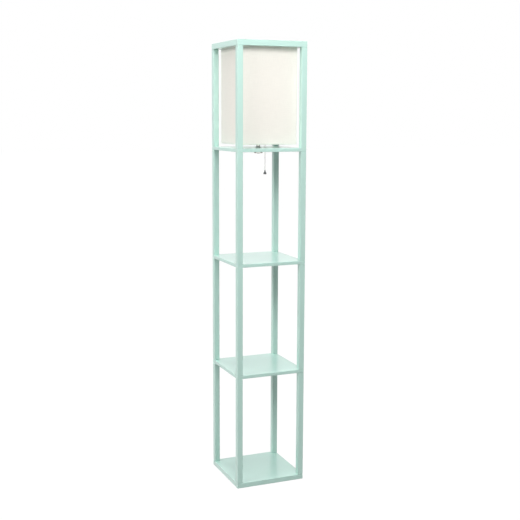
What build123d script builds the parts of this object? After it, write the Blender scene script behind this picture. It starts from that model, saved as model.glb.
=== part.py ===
from build123d import *
import math
import os

# Shelf floor lamp: square posts in four lengths, clamped over boards, with a box shade
# and a pull-chain lampholder on the top board. Millimetres, +Z up, origin on the floor
# under the middle of the base. The front is -Y and the left is -X.

# ---- Boards, posts and top frame -------------------------------------------
body_width = 260.0  # side of the square boards and of the top frame
post_side = 20.0
arris = 1.0  # easing of the long painted edges
end_easing = 0.5  # easing of board edges and post ends, which leaves a fine joint line
cut_margin = 1.0  # how far a cut runs past the face that it opens

pad_thickness = 2.0
pad_radius = 9.0
pad_inset = 32.0  # from the board's edges to the middle of a pad
pad_sides = 12

base_thickness = 18.0
shelf_thickness = 12.0
lamp_shelf_thickness = 12.0
rail_height = 20.0

lower_post_length = 390.0
middle_post_length = 390.0
upper_post_length = 390.0
lamp_post_length = 348.0

# ---- Fasteners ---------------------------------------------------------------
stud_radius = 3.0
close_fit = 0.05  # radial room of threads, pins, plugs and seats
bolt_hole_room = 0.3  # radial room of a stud or a bolt in a board
insert_radius = 4.8
insert_length = 13.0
bore_spare_depth = 2.0  # free depth past the end of an insert or a stud
thread_bite = 10.0  # how far a stud or a bolt reaches into an insert
stud_anchor = 22.0  # how far a stud is held in its own post
fastener_sides = 6  # flats that stand for the round of a hidden fastener

bolt_head_radius = 5.0
bolt_head_height = 4.0
counterbore_radius = 6.3
counterbore_depth = 6.0
counterbore_sides = 12
hex_socket_flat = 4.0
hex_socket_depth = 2.2
plug_thickness = 1.4
plug_sink = 0.2

# ---- Shade ---------------------------------------------------------------------
shade_side_gap = 6.0  # shade to the inner faces of the posts
shade_corner_bevel = 0.8
shade_bottom_gap = 12.0  # lamp shelf to shade
shade_top_gap = 12.0  # shade to the top of the frame
fabric_thickness = 0.8
liner_thickness = 0.6
hem_height = 8.0  # of the cloth that is turned in over the wires
frame_wire_radius = 1.3
wire_sides = 8
arm_notch_room = 0.6
fitter_ring_width = 5.5
fitter_ring_thickness = 1.4
fitter_ring_room = 0.4  # radial room of the ring over the lampholder's thread

# ---- Nipple and what it clamps ---------------------------------------------------
nipple_radius = 5.0
nipple_bore_radius = 3.6
washer_radius = 10.0
washer_thickness = 1.2
locknut_flat = 14.0
locknut_height = 3.0
hub_gap = 0.5  # lock nut to lampholder
canopy_radius = 16.5
canopy_height = 10.0
canopy_wall = 0.8
canopy_edge = 2.0  # bevel round the cap's lower edge
canopy_hub_radius = 8.0
canopy_hub_height = 6.0
bush_flange_radius = 5.6
bush_flange_thickness = 1.0
bush_sleeve_length = 8.0
bush_bore_radius = 2.7

# ---- Lampholder --------------------------------------------------------------------
sheet_thickness = 0.5  # of the cap, the shell and the screw shell
holder_hub_radius = 7.0
holder_hub_height = 8.0
holder_cap_height = 21.0
holder_cap_skirt = 4.5  # straight height at the cap's mouth
dome_steps = 2
shell_radius = 17.9
shell_height = 46.5
shoulder_height = 28.0  # of the shade's seat, above the shell's lower edge
shoulder_radius = 21.5
thread_zone_radius = 19.2
sleeve_thickness = 0.4
sleeve_room = 0.1
sleeve_height = 42.0
switch_body_rise = 2.0  # above the shell's lower edge
switch_body_height = 21.0
terminal_drop = 6.0  # below the top of the switch body
terminal_head_radius = 3.0
terminal_head_height = 1.8
terminal_pocket_depth = 3.5
terminal_shank_radius = 1.5
terminal_shank_length = 4.0
terminal_slot_width = 0.8
wire_hole_radius = 1.8
screw_shell_radius = 13.45
screw_shell_height = 21.0
screw_shell_opening = 7.0  # radius of the hole round the centre contact
contact_rise = 2.4
contact_length = 9.0
contact_width = 5.0
contact_fold = 2.7  # length of the slope between the leaf and its foot
ring_nut_radius = 23.5
ring_nut_height = 6.0
ring_nut_grips = 16  # flats round its rim

# ---- Pull switch -----------------------------------------------------------------------
chain_offset = 26.6  # from the lamp's axis to the hanging chain
lever_swing = 24.0  # degrees, half above and half below level
lever_pivot_offset = 6.0
lever_pivot_height = 7.5  # above the bottom of the switch body
lever_width = 5.4
lever_thickness = 1.2
lever_boss_radius = 2.2
lever_tail = 6.0
lever_tip_bevel = 1.2
pawl_radius = 0.5
pin_radius = 1.0
pin_seat_depth = 2.7  # how far a pin sits in each wall of the cavity
cavity_width = 6.6
cavity_floor = 1.5
wheel_centre_gap = 9.4  # lever pin to wheel axle
wheel_teeth = 8
wheel_tip_radius = 3.6
wheel_root_radius = 2.2
wheel_thickness = 3.2
pawl_lead = 12.5  # degrees from the pawl to the tooth face that it pushes
spring_boss_gap = 1.0  # from the lever's boss to the heel of the leaf spring
spring_length = 6.5
spring_width = 4.4
spring_thickness = 0.4
seat_gap = 0.3  # running gap of a moving piece to its seat
slot_room = 0.6

# ---- Pull chain ----------------------------------------------------------------------------
bead_radius = 1.6
bead_pitch = 4.2
bead_bevel = 1.0
round_sides = 8  # flats that stand for the round of a bead or another small piece
link_radius = 0.5
joint_gap = 0.15  # swinging bead to the links on either side
hook_radius = 2.3
hook_wire_radius = 0.4
hook_eye_radius = 1.1
hook_tip = 0.9  # lever's end past the middle of the hook
hook_drop = 0.6  # hook's middle below the lever's middle
grommet_bore_radius = 2.8
grommet_wall = 1.0
grommet_flange_width = 2.0
grommet_flange_thickness = 0.8
swing_drop = 4.2  # least depth of the swinging bead below the lamp shelf
hanging_beads = 15
knob_height = 15.0
knob_radius = 5.5
knob_neck_radius = 1.9
knob_neck_height = 2.5
knob_rim_height = 2.4
knob_edge_width = 0.825  # bevel round the foot of the knob
knob_edge_height = 0.8
knob_steps = 3
knob_bore_depth = 3.0

# ---- Bulb --------------------------------------------------------------------------------------
bulb_length = 108.0
bulb_radius = 30.0
bulb_glass_wall = 1.0
bulb_neck_radius = 12.4
bulb_neck_length = 9.0
bulb_neck_seat = 5.0  # how far the glass reaches into its base
globe_steps = 5
bulb_base_radius = 13.1
bulb_base_wall = 0.5
bulb_base_height = 22.0
bulb_base_taper = 1.5
bulb_insulator_radius = 10.0
bulb_insulator_room = 0.4
bulb_tip_height = 3.0
bulb_tip_radius = 5.0
bulb_tip_easing = 0.8
bulb_seat_gap = 0.3

# ---- Levels and places, worked out from the sizes above --------------------------------------------
base_bottom = pad_thickness
base_top = base_bottom + base_thickness
lower_shelf_bottom = base_top + lower_post_length
lower_shelf_top = lower_shelf_bottom + shelf_thickness
upper_shelf_bottom = lower_shelf_top + middle_post_length
upper_shelf_top = upper_shelf_bottom + shelf_thickness
lamp_shelf_bottom = upper_shelf_top + upper_post_length
lamp_shelf_top = lamp_shelf_bottom + lamp_shelf_thickness
frame_bottom = lamp_shelf_top + lamp_post_length
frame_top = frame_bottom + rail_height

half_width = body_width / 2
post_centre = half_width - post_side / 2
corners = {
    "front_left": (-post_centre, -post_centre),
    "front_right": (post_centre, -post_centre),
    "rear_left": (-post_centre, post_centre),
    "rear_right": (post_centre, post_centre),
}

shade_bottom = lamp_shelf_top + shade_bottom_gap
shade_top = frame_top - shade_top_gap
shade_half = half_width - post_side - shade_side_gap
liner_half = shade_half - fabric_thickness
wire_half = liner_half - liner_thickness - close_fit - frame_wire_radius
hem_half = wire_half - frame_wire_radius - close_fit
wire_rise = fabric_thickness + close_fit + frame_wire_radius

canopy_bottom = lamp_shelf_bottom - canopy_height
locknut_bottom = lamp_shelf_top + washer_thickness
holder_bottom = locknut_bottom + locknut_height + hub_gap
nipple_top = holder_bottom + holder_hub_height
holder_cap_top = holder_bottom + holder_cap_height
holder_cap_radius = shell_radius + close_fit + sheet_thickness
shell_bottom = holder_cap_top - holder_cap_skirt
shell_top = shell_bottom + shell_height
shoulder_bottom = shell_bottom + shoulder_height
shoulder_top = shoulder_bottom + 2 * sheet_thickness
sleeve_radius = shell_radius - sheet_thickness - sleeve_room
switch_body_radius = sleeve_radius - sleeve_thickness - sleeve_room
switch_body_bottom = shell_bottom + switch_body_rise
switch_body_top = switch_body_bottom + switch_body_height
fitter_ring_inner = thread_zone_radius + fitter_ring_room
fitter_ring_outer = fitter_ring_inner + fitter_ring_width
fitter_ring_top = shoulder_top + fitter_ring_thickness

half_swing = math.radians(lever_swing / 2)
pin_seat_radius = (pin_radius + close_fit) / math.cos(math.pi / fastener_sides)
lever_level = switch_body_bottom + lever_pivot_height
lever_length = (chain_offset - lever_pivot_offset) / math.cos(half_swing)
lever_rise = lever_length * math.sin(half_swing)
lever_half_depth = lever_thickness / 2 / math.cos(half_swing)
chain_sway = lever_length * (1 - math.cos(half_swing))
chain_hole_offset = chain_offset + chain_sway / 2
hook_height = lever_level + lever_rise - hook_drop
wheel_offset = lever_pivot_offset - wheel_centre_gap
spring_floor = switch_body_bottom + cavity_floor

link_gap = bead_pitch - 2 * bead_radius
first_bead = hook_height - hook_radius - hook_wire_radius - link_gap - bead_radius
upper_beads = math.ceil((first_bead - lamp_shelf_bottom + swing_drop) / bead_pitch)
swing_bead = first_bead - upper_beads * bead_pitch
knob_top = swing_bead - hanging_beads * bead_pitch - bead_radius - link_gap
grommet_radius = grommet_bore_radius + grommet_wall

bulb_tip = switch_body_top + contact_rise + bulb_seat_gap
bulb_base_bottom = bulb_tip + bulb_tip_height
bulb_base_top = bulb_base_bottom + bulb_base_height
bulb_top = bulb_tip + bulb_length


# ---- Small helpers ---------------------------------------------------------------------------------
def rod(radius, bottom, top, x=0.0, y=0.0):
    """Upright cylinder between two heights."""
    return Pos(x, y, (bottom + top) / 2) * Cylinder(radius, top - bottom)


def tube(outer, inner, bottom, top, x=0.0, y=0.0):
    """Upright tube between two heights."""
    return rod(outer, bottom, top, x, y) - rod(inner, bottom - cut_margin, top + cut_margin, x, y)


def prism(sides, radius, bottom, top, x=0.0, y=0.0):
    """Upright bar of regular section, with its corners at the radius."""
    section = RegularPolygon(radius, sides)
    return Pos(x, y, bottom) * extrude(section, top - bottom)


def cross_rod(radius, length, x, z):
    """Cylinder along Y, centred on the middle plane."""
    return Pos(x, 0, z) * Rot(90, 0, 0) * Cylinder(radius, length)


def block(x_low, x_high, y_low, y_high, z_low, z_high):
    """Box from its lowest to its highest corner."""
    middle = ((x_low + x_high) / 2, (y_low + y_high) / 2, (z_low + z_high) / 2)
    return Pos(*middle) * Box(x_high - x_low, y_high - y_low, z_high - z_low)


def square(half, bottom, top):
    """Square block about the lamp's axis."""
    return block(-half, half, -half, half, bottom, top)


def turned(points):
    """Solid turned about the lamp's axis from a closed outline of (radius, height)."""
    outline = make_face(Plane.XZ * Polyline(*points, close=True))
    return revolve(outline, Axis.Z)


def ease_ends(shape, size):
    """Chamfer round the top face and the bottom face."""
    shape = chamfer(shape.faces().sort_by(Axis.Z)[-1].edges(), size)
    return chamfer(shape.faces().sort_by(Axis.Z)[0].edges(), size)


def save(node, *solids):
    """Write one node, of one solid or of several separate ones."""
    shape = solids[0] if len(solids) == 1 else Compound(list(solids))
    export_step(shape, "parts/" + node + ".step")


# ---- Boards and posts ------------------------------------------------------------------------------
def board(bottom, thickness):
    """Square board with eased edges and a hole for the stud or bolt at each post."""
    top = bottom + thickness
    panel = square(half_width, bottom, top)
    panel = chamfer(panel.edges().filter_by(Axis.Z), arris)
    panel = ease_ends(panel, end_easing)
    hole_radius = stud_radius + bolt_hole_room
    for x, y in corners.values():
        panel -= prism(fastener_sides, hole_radius, bottom - cut_margin, top + cut_margin, x, y)
    return panel


def counterbore(x, y, face, inward):
    """Recess for a bolt's head, sunk from a face in the given direction."""
    low, high = sorted((face - inward * cut_margin, face + inward * counterbore_depth))
    return prism(counterbore_sides, counterbore_radius, low, high, x, y)


def base_board():
    """Base board, counterbored on its underside for the bolts."""
    panel = board(base_bottom, base_thickness)
    for x, y in corners.values():
        panel -= counterbore(x, y, base_bottom, 1)
    return panel


def lamp_shelf():
    """Top board, with the nipple's hole and the chain's hole."""
    panel = board(lamp_shelf_bottom, lamp_shelf_thickness)
    low = lamp_shelf_bottom - cut_margin
    high = lamp_shelf_top + cut_margin
    panel -= rod(nipple_radius + bolt_hole_room, low, high)
    panel -= rod(grommet_radius + close_fit, low, high, chain_hole_offset)
    return panel


def post(x, y, bottom, length, insert_below):
    """Square post bored for an insert on top, and for an insert or a stud below."""
    top = bottom + length
    half = post_side / 2
    bar = block(x - half, x + half, y - half, y + half, bottom, top)
    bar = chamfer(bar.edges().filter_by(Axis.Z), arris)
    bar = ease_ends(bar, end_easing)
    insert_bore = insert_length + bore_spare_depth
    insert_seat = insert_radius + close_fit
    bar -= prism(fastener_sides, insert_seat, top - insert_bore, top + cut_margin, x, y)
    if insert_below:
        bar -= prism(fastener_sides, insert_seat, bottom - cut_margin, bottom + insert_bore, x, y)
    else:
        stud_bore = stud_anchor + bore_spare_depth
        bar -= prism(fastener_sides, stud_radius + close_fit, bottom - cut_margin, bottom + stud_bore, x, y)
    return bar


def insert(x, y, bottom):
    """Threaded insert, flush with the end of its post."""
    top = bottom + insert_length
    bore = prism(fastener_sides, stud_radius + close_fit, bottom - cut_margin, top + cut_margin, x, y)
    return prism(fastener_sides, insert_radius, bottom, top, x, y) - bore


def stud(x, y, board_bottom, board_top):
    """Stud held in the post above a board, down into the insert below it."""
    low = board_bottom - thread_bite
    return prism(fastener_sides, stud_radius, low, board_top + stud_anchor, x, y)


def bolt(x, y, face, inward, tip):
    """Bolt in the counterbore of a face, with a hexagonal recess in its head."""
    seat = face + inward * counterbore_depth
    head_face = seat - inward * bolt_head_height
    head = prism(fastener_sides, bolt_head_radius, *sorted((head_face, seat)), x, y)
    shank = prism(fastener_sides, stud_radius, *sorted((seat, tip)), x, y)
    low, high = sorted((head_face - inward * cut_margin, head_face + inward * hex_socket_depth))
    hexagon = RegularPolygon(hex_socket_flat / 2, 6, major_radius=False)
    return head + shank - Pos(x, y, low) * extrude(hexagon, high - low)


def bolt_plug(x, y):
    """Disc that closes the counterbore over a frame bolt."""
    top = frame_top - plug_sink
    return prism(counterbore_sides, counterbore_radius - close_fit, top - plug_thickness, top, x, y)


def foot_pad(x, y):
    """Round pad under the base board."""
    return prism(pad_sides, pad_radius, 0, pad_thickness, x, y)


def rail(side, turn, lap_low, lap_high, ends):
    """Rail of the top frame, cut away between two heights where it laps its neighbours."""
    middle = side * post_centre
    half = post_side / 2
    inner = half_width - post_side
    bar = block(-half_width, half_width, middle - half, middle + half, frame_bottom, frame_top)
    bar = chamfer(bar.edges().filter_by(Axis.X), end_easing)
    for end in (-1, 1):
        near, far = sorted((end * inner, end * (half_width + cut_margin)))
        bar -= block(near, far, middle - post_side, middle + post_side, lap_low, lap_high)
    bar = Rot(0, 0, turn) * bar
    hole_radius = stud_radius + bolt_hole_room
    for x, y in (corners[end] for end in ends):
        bar -= prism(fastener_sides, hole_radius, frame_bottom - cut_margin, frame_top + cut_margin, x, y)
        bar -= counterbore(x, y, frame_top, -1)
    return bar


# ---- Shade -----------------------------------------------------------------------------------------
def shade_hem(edge, inward):
    """Cloth turned in over a wire, from an open edge of the shade towards its middle."""
    lid_low, lid_high = sorted((edge, edge + inward * fabric_thickness))
    fold_low, fold_high = sorted((edge, edge + inward * hem_height))
    fold_half = hem_half - fabric_thickness
    lid = square(liner_half, lid_low, lid_high)
    fold = square(hem_half, fold_low, fold_high)
    return lid + fold - square(fold_half, fold_low - cut_margin, fold_high + cut_margin)


def shade_fabric():
    """Cloth box, open at top and bottom, with hems and a notch for each arm."""
    cloth = square(shade_half, shade_bottom, shade_top)
    cloth = chamfer(cloth.edges().filter_by(Axis.Z), shade_corner_bevel)
    cloth -= square(liner_half, shade_bottom - cut_margin, shade_top + cut_margin)
    cloth += shade_hem(shade_bottom, 1)
    cloth += shade_hem(shade_top, -1)
    notch_half = frame_wire_radius + arm_notch_room
    corner_reach = wire_half * math.sqrt(2)
    notch_low = shade_bottom + fabric_thickness
    notch_high = shade_bottom + hem_height + cut_margin
    for turn in (45, 135, 225, 315):
        notch = block(hem_half, corner_reach, -notch_half, notch_half, notch_low, notch_high)
        cloth -= Rot(0, 0, turn) * notch
    return cloth


def shade_liner():
    """Stiff sheet that the cloth is bonded to."""
    low = shade_bottom + fabric_thickness
    high = shade_top - fabric_thickness
    inner = liner_half - liner_thickness
    return square(liner_half, low, high) - square(inner, low - cut_margin, high + cut_margin)


def wire_section():
    """Flat-sided section of the frame wire."""
    return RegularPolygon(frame_wire_radius, wire_sides)


def wire_square(height):
    """Square ring of wire with mitred corners."""
    far = wire_half + 2 * frame_wire_radius
    run = extrude(Plane.YZ.offset(-far) * Pos(-wire_half, height) * wire_section(), 2 * far)
    quarter = make_face(Polyline((0, 0), (-far, -far), (far, -far), close=True))
    quarter = Pos(0, 0, height - far / 2) * extrude(quarter, far)
    side = run & quarter
    return side + [Rot(0, 0, turn) * side for turn in (90, 180, 270)]


def shade_carrier():
    """Lower wire with four arms that rise to the fitter ring."""
    wire_height = shade_bottom + wire_rise
    ring_height = (shoulder_top + fitter_ring_top) / 2
    outer_end = Vector(wire_half * math.sqrt(2), 0, wire_height)
    inner_end = Vector(fitter_ring_outer - fitter_ring_thickness / 2, 0, ring_height)
    span = inner_end - outer_end
    arm = extrude(Plane(outer_end, z_dir=span) * wire_section(), span.length)
    frame = wire_square(wire_height)
    frame += tube(fitter_ring_outer, fitter_ring_inner, shoulder_top, fitter_ring_top)
    for turn in (45, 135, 225, 315):
        frame += Rot(0, 0, turn) * arm
    return frame


def shade_ring_nut():
    """Nut with a flat-sided rim that holds the fitter ring on the shoulder."""
    top = fitter_ring_top + ring_nut_height
    nut = prism(ring_nut_grips, ring_nut_radius, fitter_ring_top, top)
    return nut - rod(thread_zone_radius + close_fit, fitter_ring_top - cut_margin, top + cut_margin)


# ---- Nipple and what it clamps -----------------------------------------------------------------------
def canopy_cap():
    """Cup under the lamp shelf, screwed on the nipple by its hub."""
    inner = canopy_radius - canopy_wall
    bore = nipple_radius + close_fit
    floor = canopy_bottom + canopy_wall
    hub_top = canopy_bottom + canopy_hub_height
    return turned(
        [
            (bore, canopy_bottom),
            (canopy_radius - canopy_edge, canopy_bottom),
            (canopy_radius, canopy_bottom + canopy_edge),
            (canopy_radius, lamp_shelf_bottom),
            (inner, lamp_shelf_bottom),
            (inner, canopy_bottom + canopy_edge),
            (canopy_hub_radius, floor),
            (canopy_hub_radius, hub_top),
            (bore, hub_top),
        ]
    )


def cord_bushing():
    """Insulating bush in the nipple's lower end, where the mains cord enters."""
    sleeve_top = canopy_bottom + bush_sleeve_length
    flange_bottom = canopy_bottom - bush_flange_thickness
    bush = rod(bush_flange_radius, flange_bottom, canopy_bottom)
    bush += rod(nipple_bore_radius - close_fit, canopy_bottom, sleeve_top)
    return bush - rod(bush_bore_radius, flange_bottom - cut_margin, sleeve_top + cut_margin)


def shelf_locknut():
    """Thin hexagonal nut that clamps the nipple to the lamp shelf."""
    hexagon = RegularPolygon(locknut_flat / 2, 6, major_radius=False)
    nut = Pos(0, 0, locknut_bottom) * extrude(hexagon, locknut_height)
    return nut - rod(nipple_radius + close_fit, locknut_bottom - cut_margin, holder_bottom)


# ---- Lampholder ------------------------------------------------------------------------------------------
def holder_cap_form(inset):
    """Bowl of the lampholder's cap, drawn in from its outer face by an inset."""
    rim = holder_cap_radius - inset
    waist = holder_hub_radius - inset
    floor = nipple_top - sheet_thickness + inset
    rise = holder_cap_top - holder_cap_skirt - floor
    points = [(0, floor)]
    for step in range(dome_steps + 1):
        angle = math.radians(90 * step / dome_steps)
        points.append((waist + (rim - waist) * math.sin(angle), floor + rise * (1 - math.cos(angle))))
    points += [(rim, holder_cap_top + inset), (0, holder_cap_top + inset)]
    return turned(points)


def socket_cap():
    """Spun cap of the lampholder, with the hub that screws on the nipple."""
    cap = holder_cap_form(0) - holder_cap_form(sheet_thickness)
    cap += rod(holder_hub_radius, holder_bottom, nipple_top)
    return cap - rod(nipple_radius + close_fit, holder_bottom - cut_margin, nipple_top + cut_margin)


def lever_slot(radius):
    """Opening for the lever's swing through a wall of the given radius."""
    half_height = (radius - lever_pivot_offset) * math.tan(half_swing) + lever_half_depth + slot_room
    half_slot = lever_width / 2 + slot_room
    low = lever_level - half_height
    high = lever_level + half_height
    return block(lever_pivot_offset, radius + cut_margin, -half_slot, half_slot, low, high)


def socket_shell():
    """Outer shell, with a folded shoulder and a wider threaded zone for the shade."""
    wall = sheet_thickness
    inner = shell_radius - wall
    shell = turned(
        [
            (inner, shell_bottom),
            (shell_radius, shell_bottom),
            (shell_radius, shoulder_bottom),
            (shoulder_radius, shoulder_bottom),
            (shoulder_radius, shoulder_top),
            (thread_zone_radius, shoulder_top),
            (thread_zone_radius, shell_top),
            (thread_zone_radius - wall, shell_top),
            (thread_zone_radius - wall, shoulder_bottom + wall),
            (inner, shoulder_bottom + wall),
        ]
    )
    return shell - lever_slot(shell_radius)


def socket_liner():
    """Insulating sleeve inside the shell."""
    bottom = switch_body_bottom
    sleeve = tube(sleeve_radius, sleeve_radius - sleeve_thickness, bottom, bottom + sleeve_height)
    return sleeve - lever_slot(shell_radius)


def terminal_level():
    """Height of the terminal screws."""
    return switch_body_top - terminal_drop


def switch_body():
    """Moulded body with the lever's cavity, pin holes and terminal pockets."""
    body = rod(switch_body_radius, switch_body_bottom, switch_body_top)
    half_cavity = cavity_width / 2
    back = wheel_offset - wheel_tip_radius - slot_room
    ceiling = lever_level + wheel_tip_radius + slot_room
    body -= block(back, switch_body_radius + cut_margin, -half_cavity, half_cavity, spring_floor, ceiling)
    seat_half = cavity_width / 2 + pin_seat_depth
    pin_seat = prism(fastener_sides, pin_seat_radius, -seat_half, seat_half)
    for x in (lever_pivot_offset, wheel_offset):
        body -= Pos(x, 0, lever_level) * Rot(90, 0, 0) * pin_seat
    half_pocket = terminal_head_radius + slot_room
    floor = switch_body_radius - terminal_pocket_depth
    low = terminal_level() - half_pocket
    pocket = block(-half_pocket, half_pocket, floor, switch_body_radius, low, switch_body_top + cut_margin)
    hole_radius = terminal_shank_radius + close_fit
    hole = prism(fastener_sides, hole_radius, floor - terminal_shank_length, floor + cut_margin)
    hole = Pos(0, 0, terminal_level()) * Rot(-90, 0, 0) * hole
    for turn in (0, 180):
        body -= Rot(0, 0, turn) * (pocket + hole)
    wire_place = (switch_body_radius + half_cavity) / 2
    low = switch_body_bottom - cut_margin
    for y in (-wire_place, wire_place):
        body -= prism(fastener_sides, wire_hole_radius, low, terminal_level(), 0, y)
    return body


def terminal_screw(turn):
    """Slotted terminal screw at the floor of its pocket."""
    floor = switch_body_radius - terminal_pocket_depth
    face = floor + terminal_head_height
    screw = prism(round_sides, terminal_head_radius, floor, face)
    screw += prism(fastener_sides, terminal_shank_radius, floor - terminal_shank_length, floor)
    half_slot = terminal_slot_width / 2
    reach = terminal_head_radius + cut_margin
    screw -= block(-reach, reach, -half_slot, half_slot, face - terminal_slot_width, face + cut_margin)
    return Rot(0, 0, turn) * Pos(0, 0, terminal_level()) * Rot(-90, 0, 0) * screw


def screw_shell():
    """Threaded metal shell that takes the bulb's base, with its flange on the body."""
    outer = screw_shell_radius + sheet_thickness
    floor = switch_body_top + sheet_thickness
    shell = rod(outer, switch_body_top, switch_body_top + screw_shell_height)
    shell -= rod(screw_shell_radius, floor, switch_body_top + screw_shell_height + cut_margin)
    return shell - rod(screw_shell_opening, switch_body_top - cut_margin, floor + cut_margin)


def centre_contact():
    """Folded brass leaf that meets the bulb's tip."""
    wall = sheet_thickness
    back = -contact_length / 2
    front = contact_length / 2
    crest = back + contact_fold
    outline = [
        (back, 0),
        (front, 0),
        (front, wall),
        (back + wall, wall),
        (crest + wall, contact_rise - wall),
        (front, contact_rise - wall),
        (front, contact_rise),
        (crest, contact_rise),
        (back, wall),
    ]
    leaf = make_face(Plane.XZ * Polyline(*outline, close=True))
    leaf = extrude(leaf, contact_width / 2, both=True)
    return Pos(0, 0, switch_body_top) * leaf


# ---- Pull switch -----------------------------------------------------------------------------------------
def switch_lever():
    """Rocking lever: eye for the hook at one end and the pawl at the other."""
    half = lever_width / 2
    half_depth = lever_thickness / 2
    tail_half = wheel_thickness / 2
    arm = block(0, lever_length + hook_tip, -half, half, -half_depth, half_depth)
    arm = chamfer(arm.edges().filter_by(Axis.Z).sort_by(Axis.X)[-2:], lever_tip_bevel)
    arm += block(-lever_tail, 0, -tail_half, tail_half, -pawl_radius, pawl_radius)
    arm += cross_rod(pawl_radius, wheel_thickness, -lever_tail, 0)
    arm += cross_rod(lever_boss_radius, lever_width, 0, 0)
    arm -= cross_rod(pin_radius + close_fit, lever_width + 2 * cut_margin, 0, 0)
    eye = lever_length - math.sqrt(hook_radius**2 - hook_drop**2)
    arm -= prism(round_sides, hook_eye_radius, -lever_thickness, lever_thickness, eye)
    return Pos(lever_pivot_offset, 0, lever_level) * Rot(0, -lever_swing / 2, 0) * arm


def pin(x):
    """Plain steel pin across the cavity."""
    return cross_rod(pin_radius, cavity_width + 2 * pin_seat_depth, x, lever_level)


def ratchet_wheel():
    """Saw-toothed wheel, one tooth forward for each pull."""
    tail_drop = lever_tail * math.sin(half_swing)
    tail_reach = wheel_centre_gap - lever_tail * math.cos(half_swing)
    pawl_angle = -math.degrees(math.atan2(tail_drop, tail_reach))
    points = []
    for tooth in range(wheel_teeth):
        angle = math.radians(pawl_angle + pawl_lead - tooth * 360 / wheel_teeth)
        for radius in (wheel_tip_radius, wheel_root_radius):
            points.append((radius * math.cos(angle), radius * math.sin(angle)))
    wheel = make_face(Plane.XZ * Polyline(*points, close=True))
    wheel = extrude(wheel, wheel_thickness / 2, both=True)
    wheel -= cross_rod(pin_radius + close_fit, wheel_thickness + 2 * cut_margin, 0, 0)
    return Pos(wheel_offset, 0, lever_level) * wheel


def return_spring():
    """Leaf spring: a foot on the cavity's floor and a blade bent back under the lever."""
    start = lever_boss_radius + spring_boss_gap
    heel = lever_pivot_offset + start
    toe = heel + spring_length
    wall = spring_thickness
    rise = spring_length * math.tan(half_swing)
    underside = lever_level + start * math.tan(half_swing) - lever_half_depth - seat_gap
    bend = spring_floor + (underside - spring_floor) / 2
    outline = [
        (toe, spring_floor),
        (heel + wall, spring_floor),
        (heel, spring_floor + wall),
        (heel - wall, bend),
        (heel, underside),
        (toe, underside + rise),
        (toe, underside + rise - wall),
        (heel + wall, underside - wall),
        (heel, bend),
        (heel + wall, spring_floor + wall),
        (toe, spring_floor + wall),
    ]
    blade = make_face(Plane.XZ * Polyline(*outline, close=True))
    return extrude(blade, spring_width / 2, both=True)


# ---- Pull chain ------------------------------------------------------------------------------------------
def bead(height):
    """Hollow-ball bead, drawn with flat sides, a straight belt and bevelled ends."""
    ball = prism(round_sides, bead_radius, height - bead_radius, height + bead_radius)
    return ease_ends(ball, bead_bevel)


def link(bottom, top):
    """Wire between two beads."""
    return prism(round_sides, link_radius, bottom, top)


def pull_chain_upper():
    """Hook through the lever's eye and the beads down through the shelf."""
    section = Plane.XZ * Pos(hook_radius, 0) * RegularPolygon(hook_wire_radius, round_sides)
    ring = Pos(0, 0, hook_height) * Rot(90, 0, 0) * revolve(section, Axis.Z)
    chain = ring + link(first_bead + bead_radius, hook_height - hook_radius - hook_wire_radius / 2)
    for index in range(upper_beads):
        height = first_bead - index * bead_pitch
        below = joint_gap if index == upper_beads - 1 else 0
        chain += bead(height)
        chain += link(height - bead_radius - link_gap + below, height - bead_radius)
    return Pos(chain_offset, 0, 0) * chain


def pull_chain_bead():
    """Bead under the shelf, about which the free end swings."""
    return Pos(chain_offset, 0, 0) * bead(swing_bead)


def pull_chain_lower():
    """Free end of the chain, whose last link is held in the knob."""
    chain = link(knob_top - knob_bore_depth, knob_top + link_gap)
    for index in range(hanging_beads):
        height = swing_bead - (index + 1) * bead_pitch
        above = joint_gap if index == 0 else 0
        chain += bead(height)
        chain += link(height + bead_radius, height + bead_radius + link_gap - above)
    return Pos(chain_offset, 0, 0) * chain


def pull_knob():
    """Bell-shaped knob, flared from its neck by a half cosine."""
    flare_top = knob_top - knob_neck_height
    rim_top = knob_top - knob_height + knob_rim_height
    points = [(0, knob_top), (knob_neck_radius, knob_top)]
    for step in range(knob_steps + 1):
        share = step / knob_steps
        swell = (1 - math.cos(math.pi * share)) / 2
        radius = knob_neck_radius + (knob_radius - knob_neck_radius) * swell
        points.append((radius, flare_top + (rim_top - flare_top) * share))
    bottom = knob_top - knob_height
    foot_radius = knob_radius - knob_edge_width
    points += [(knob_radius, bottom + knob_edge_height), (foot_radius, bottom), (0, bottom)]
    bore = prism(round_sides, link_radius + close_fit, knob_top - knob_bore_depth, knob_top + cut_margin)
    knob = turned(points) - bore
    return Pos(chain_offset, 0, 0) * knob


def chain_grommet():
    """Flanged sleeve that guides the chain through the shelf."""
    flange_top = lamp_shelf_top + grommet_flange_thickness
    sleeve = rod(grommet_radius, lamp_shelf_bottom, lamp_shelf_top)
    sleeve += rod(grommet_radius + grommet_flange_width, lamp_shelf_top, flange_top)
    sleeve -= rod(grommet_bore_radius, lamp_shelf_bottom - cut_margin, flange_top + cut_margin)
    return Pos(chain_hole_offset, 0, 0) * sleeve


# ---- Bulb ------------------------------------------------------------------------------------------------
def glass_form(inset, bottom, steps):
    """Bulb shape: straight neck, cone tangent to the globe, and globe in flat steps."""
    radius = bulb_radius - inset
    neck = bulb_neck_radius - inset
    centre = bulb_top - bulb_radius
    neck_top = bulb_base_top - bulb_neck_seat + bulb_neck_length
    drop = centre - neck_top
    tangent = math.atan2(drop, neck) - math.acos(radius / math.hypot(neck, drop))
    points = [(0, bottom), (neck, bottom), (neck, neck_top)]
    for step in range(steps + 1):
        angle = -tangent + (math.pi / 2 + tangent) * step / steps
        points.append((radius * math.cos(angle), centre + radius * math.sin(angle)))
    return turned(points)


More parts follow.
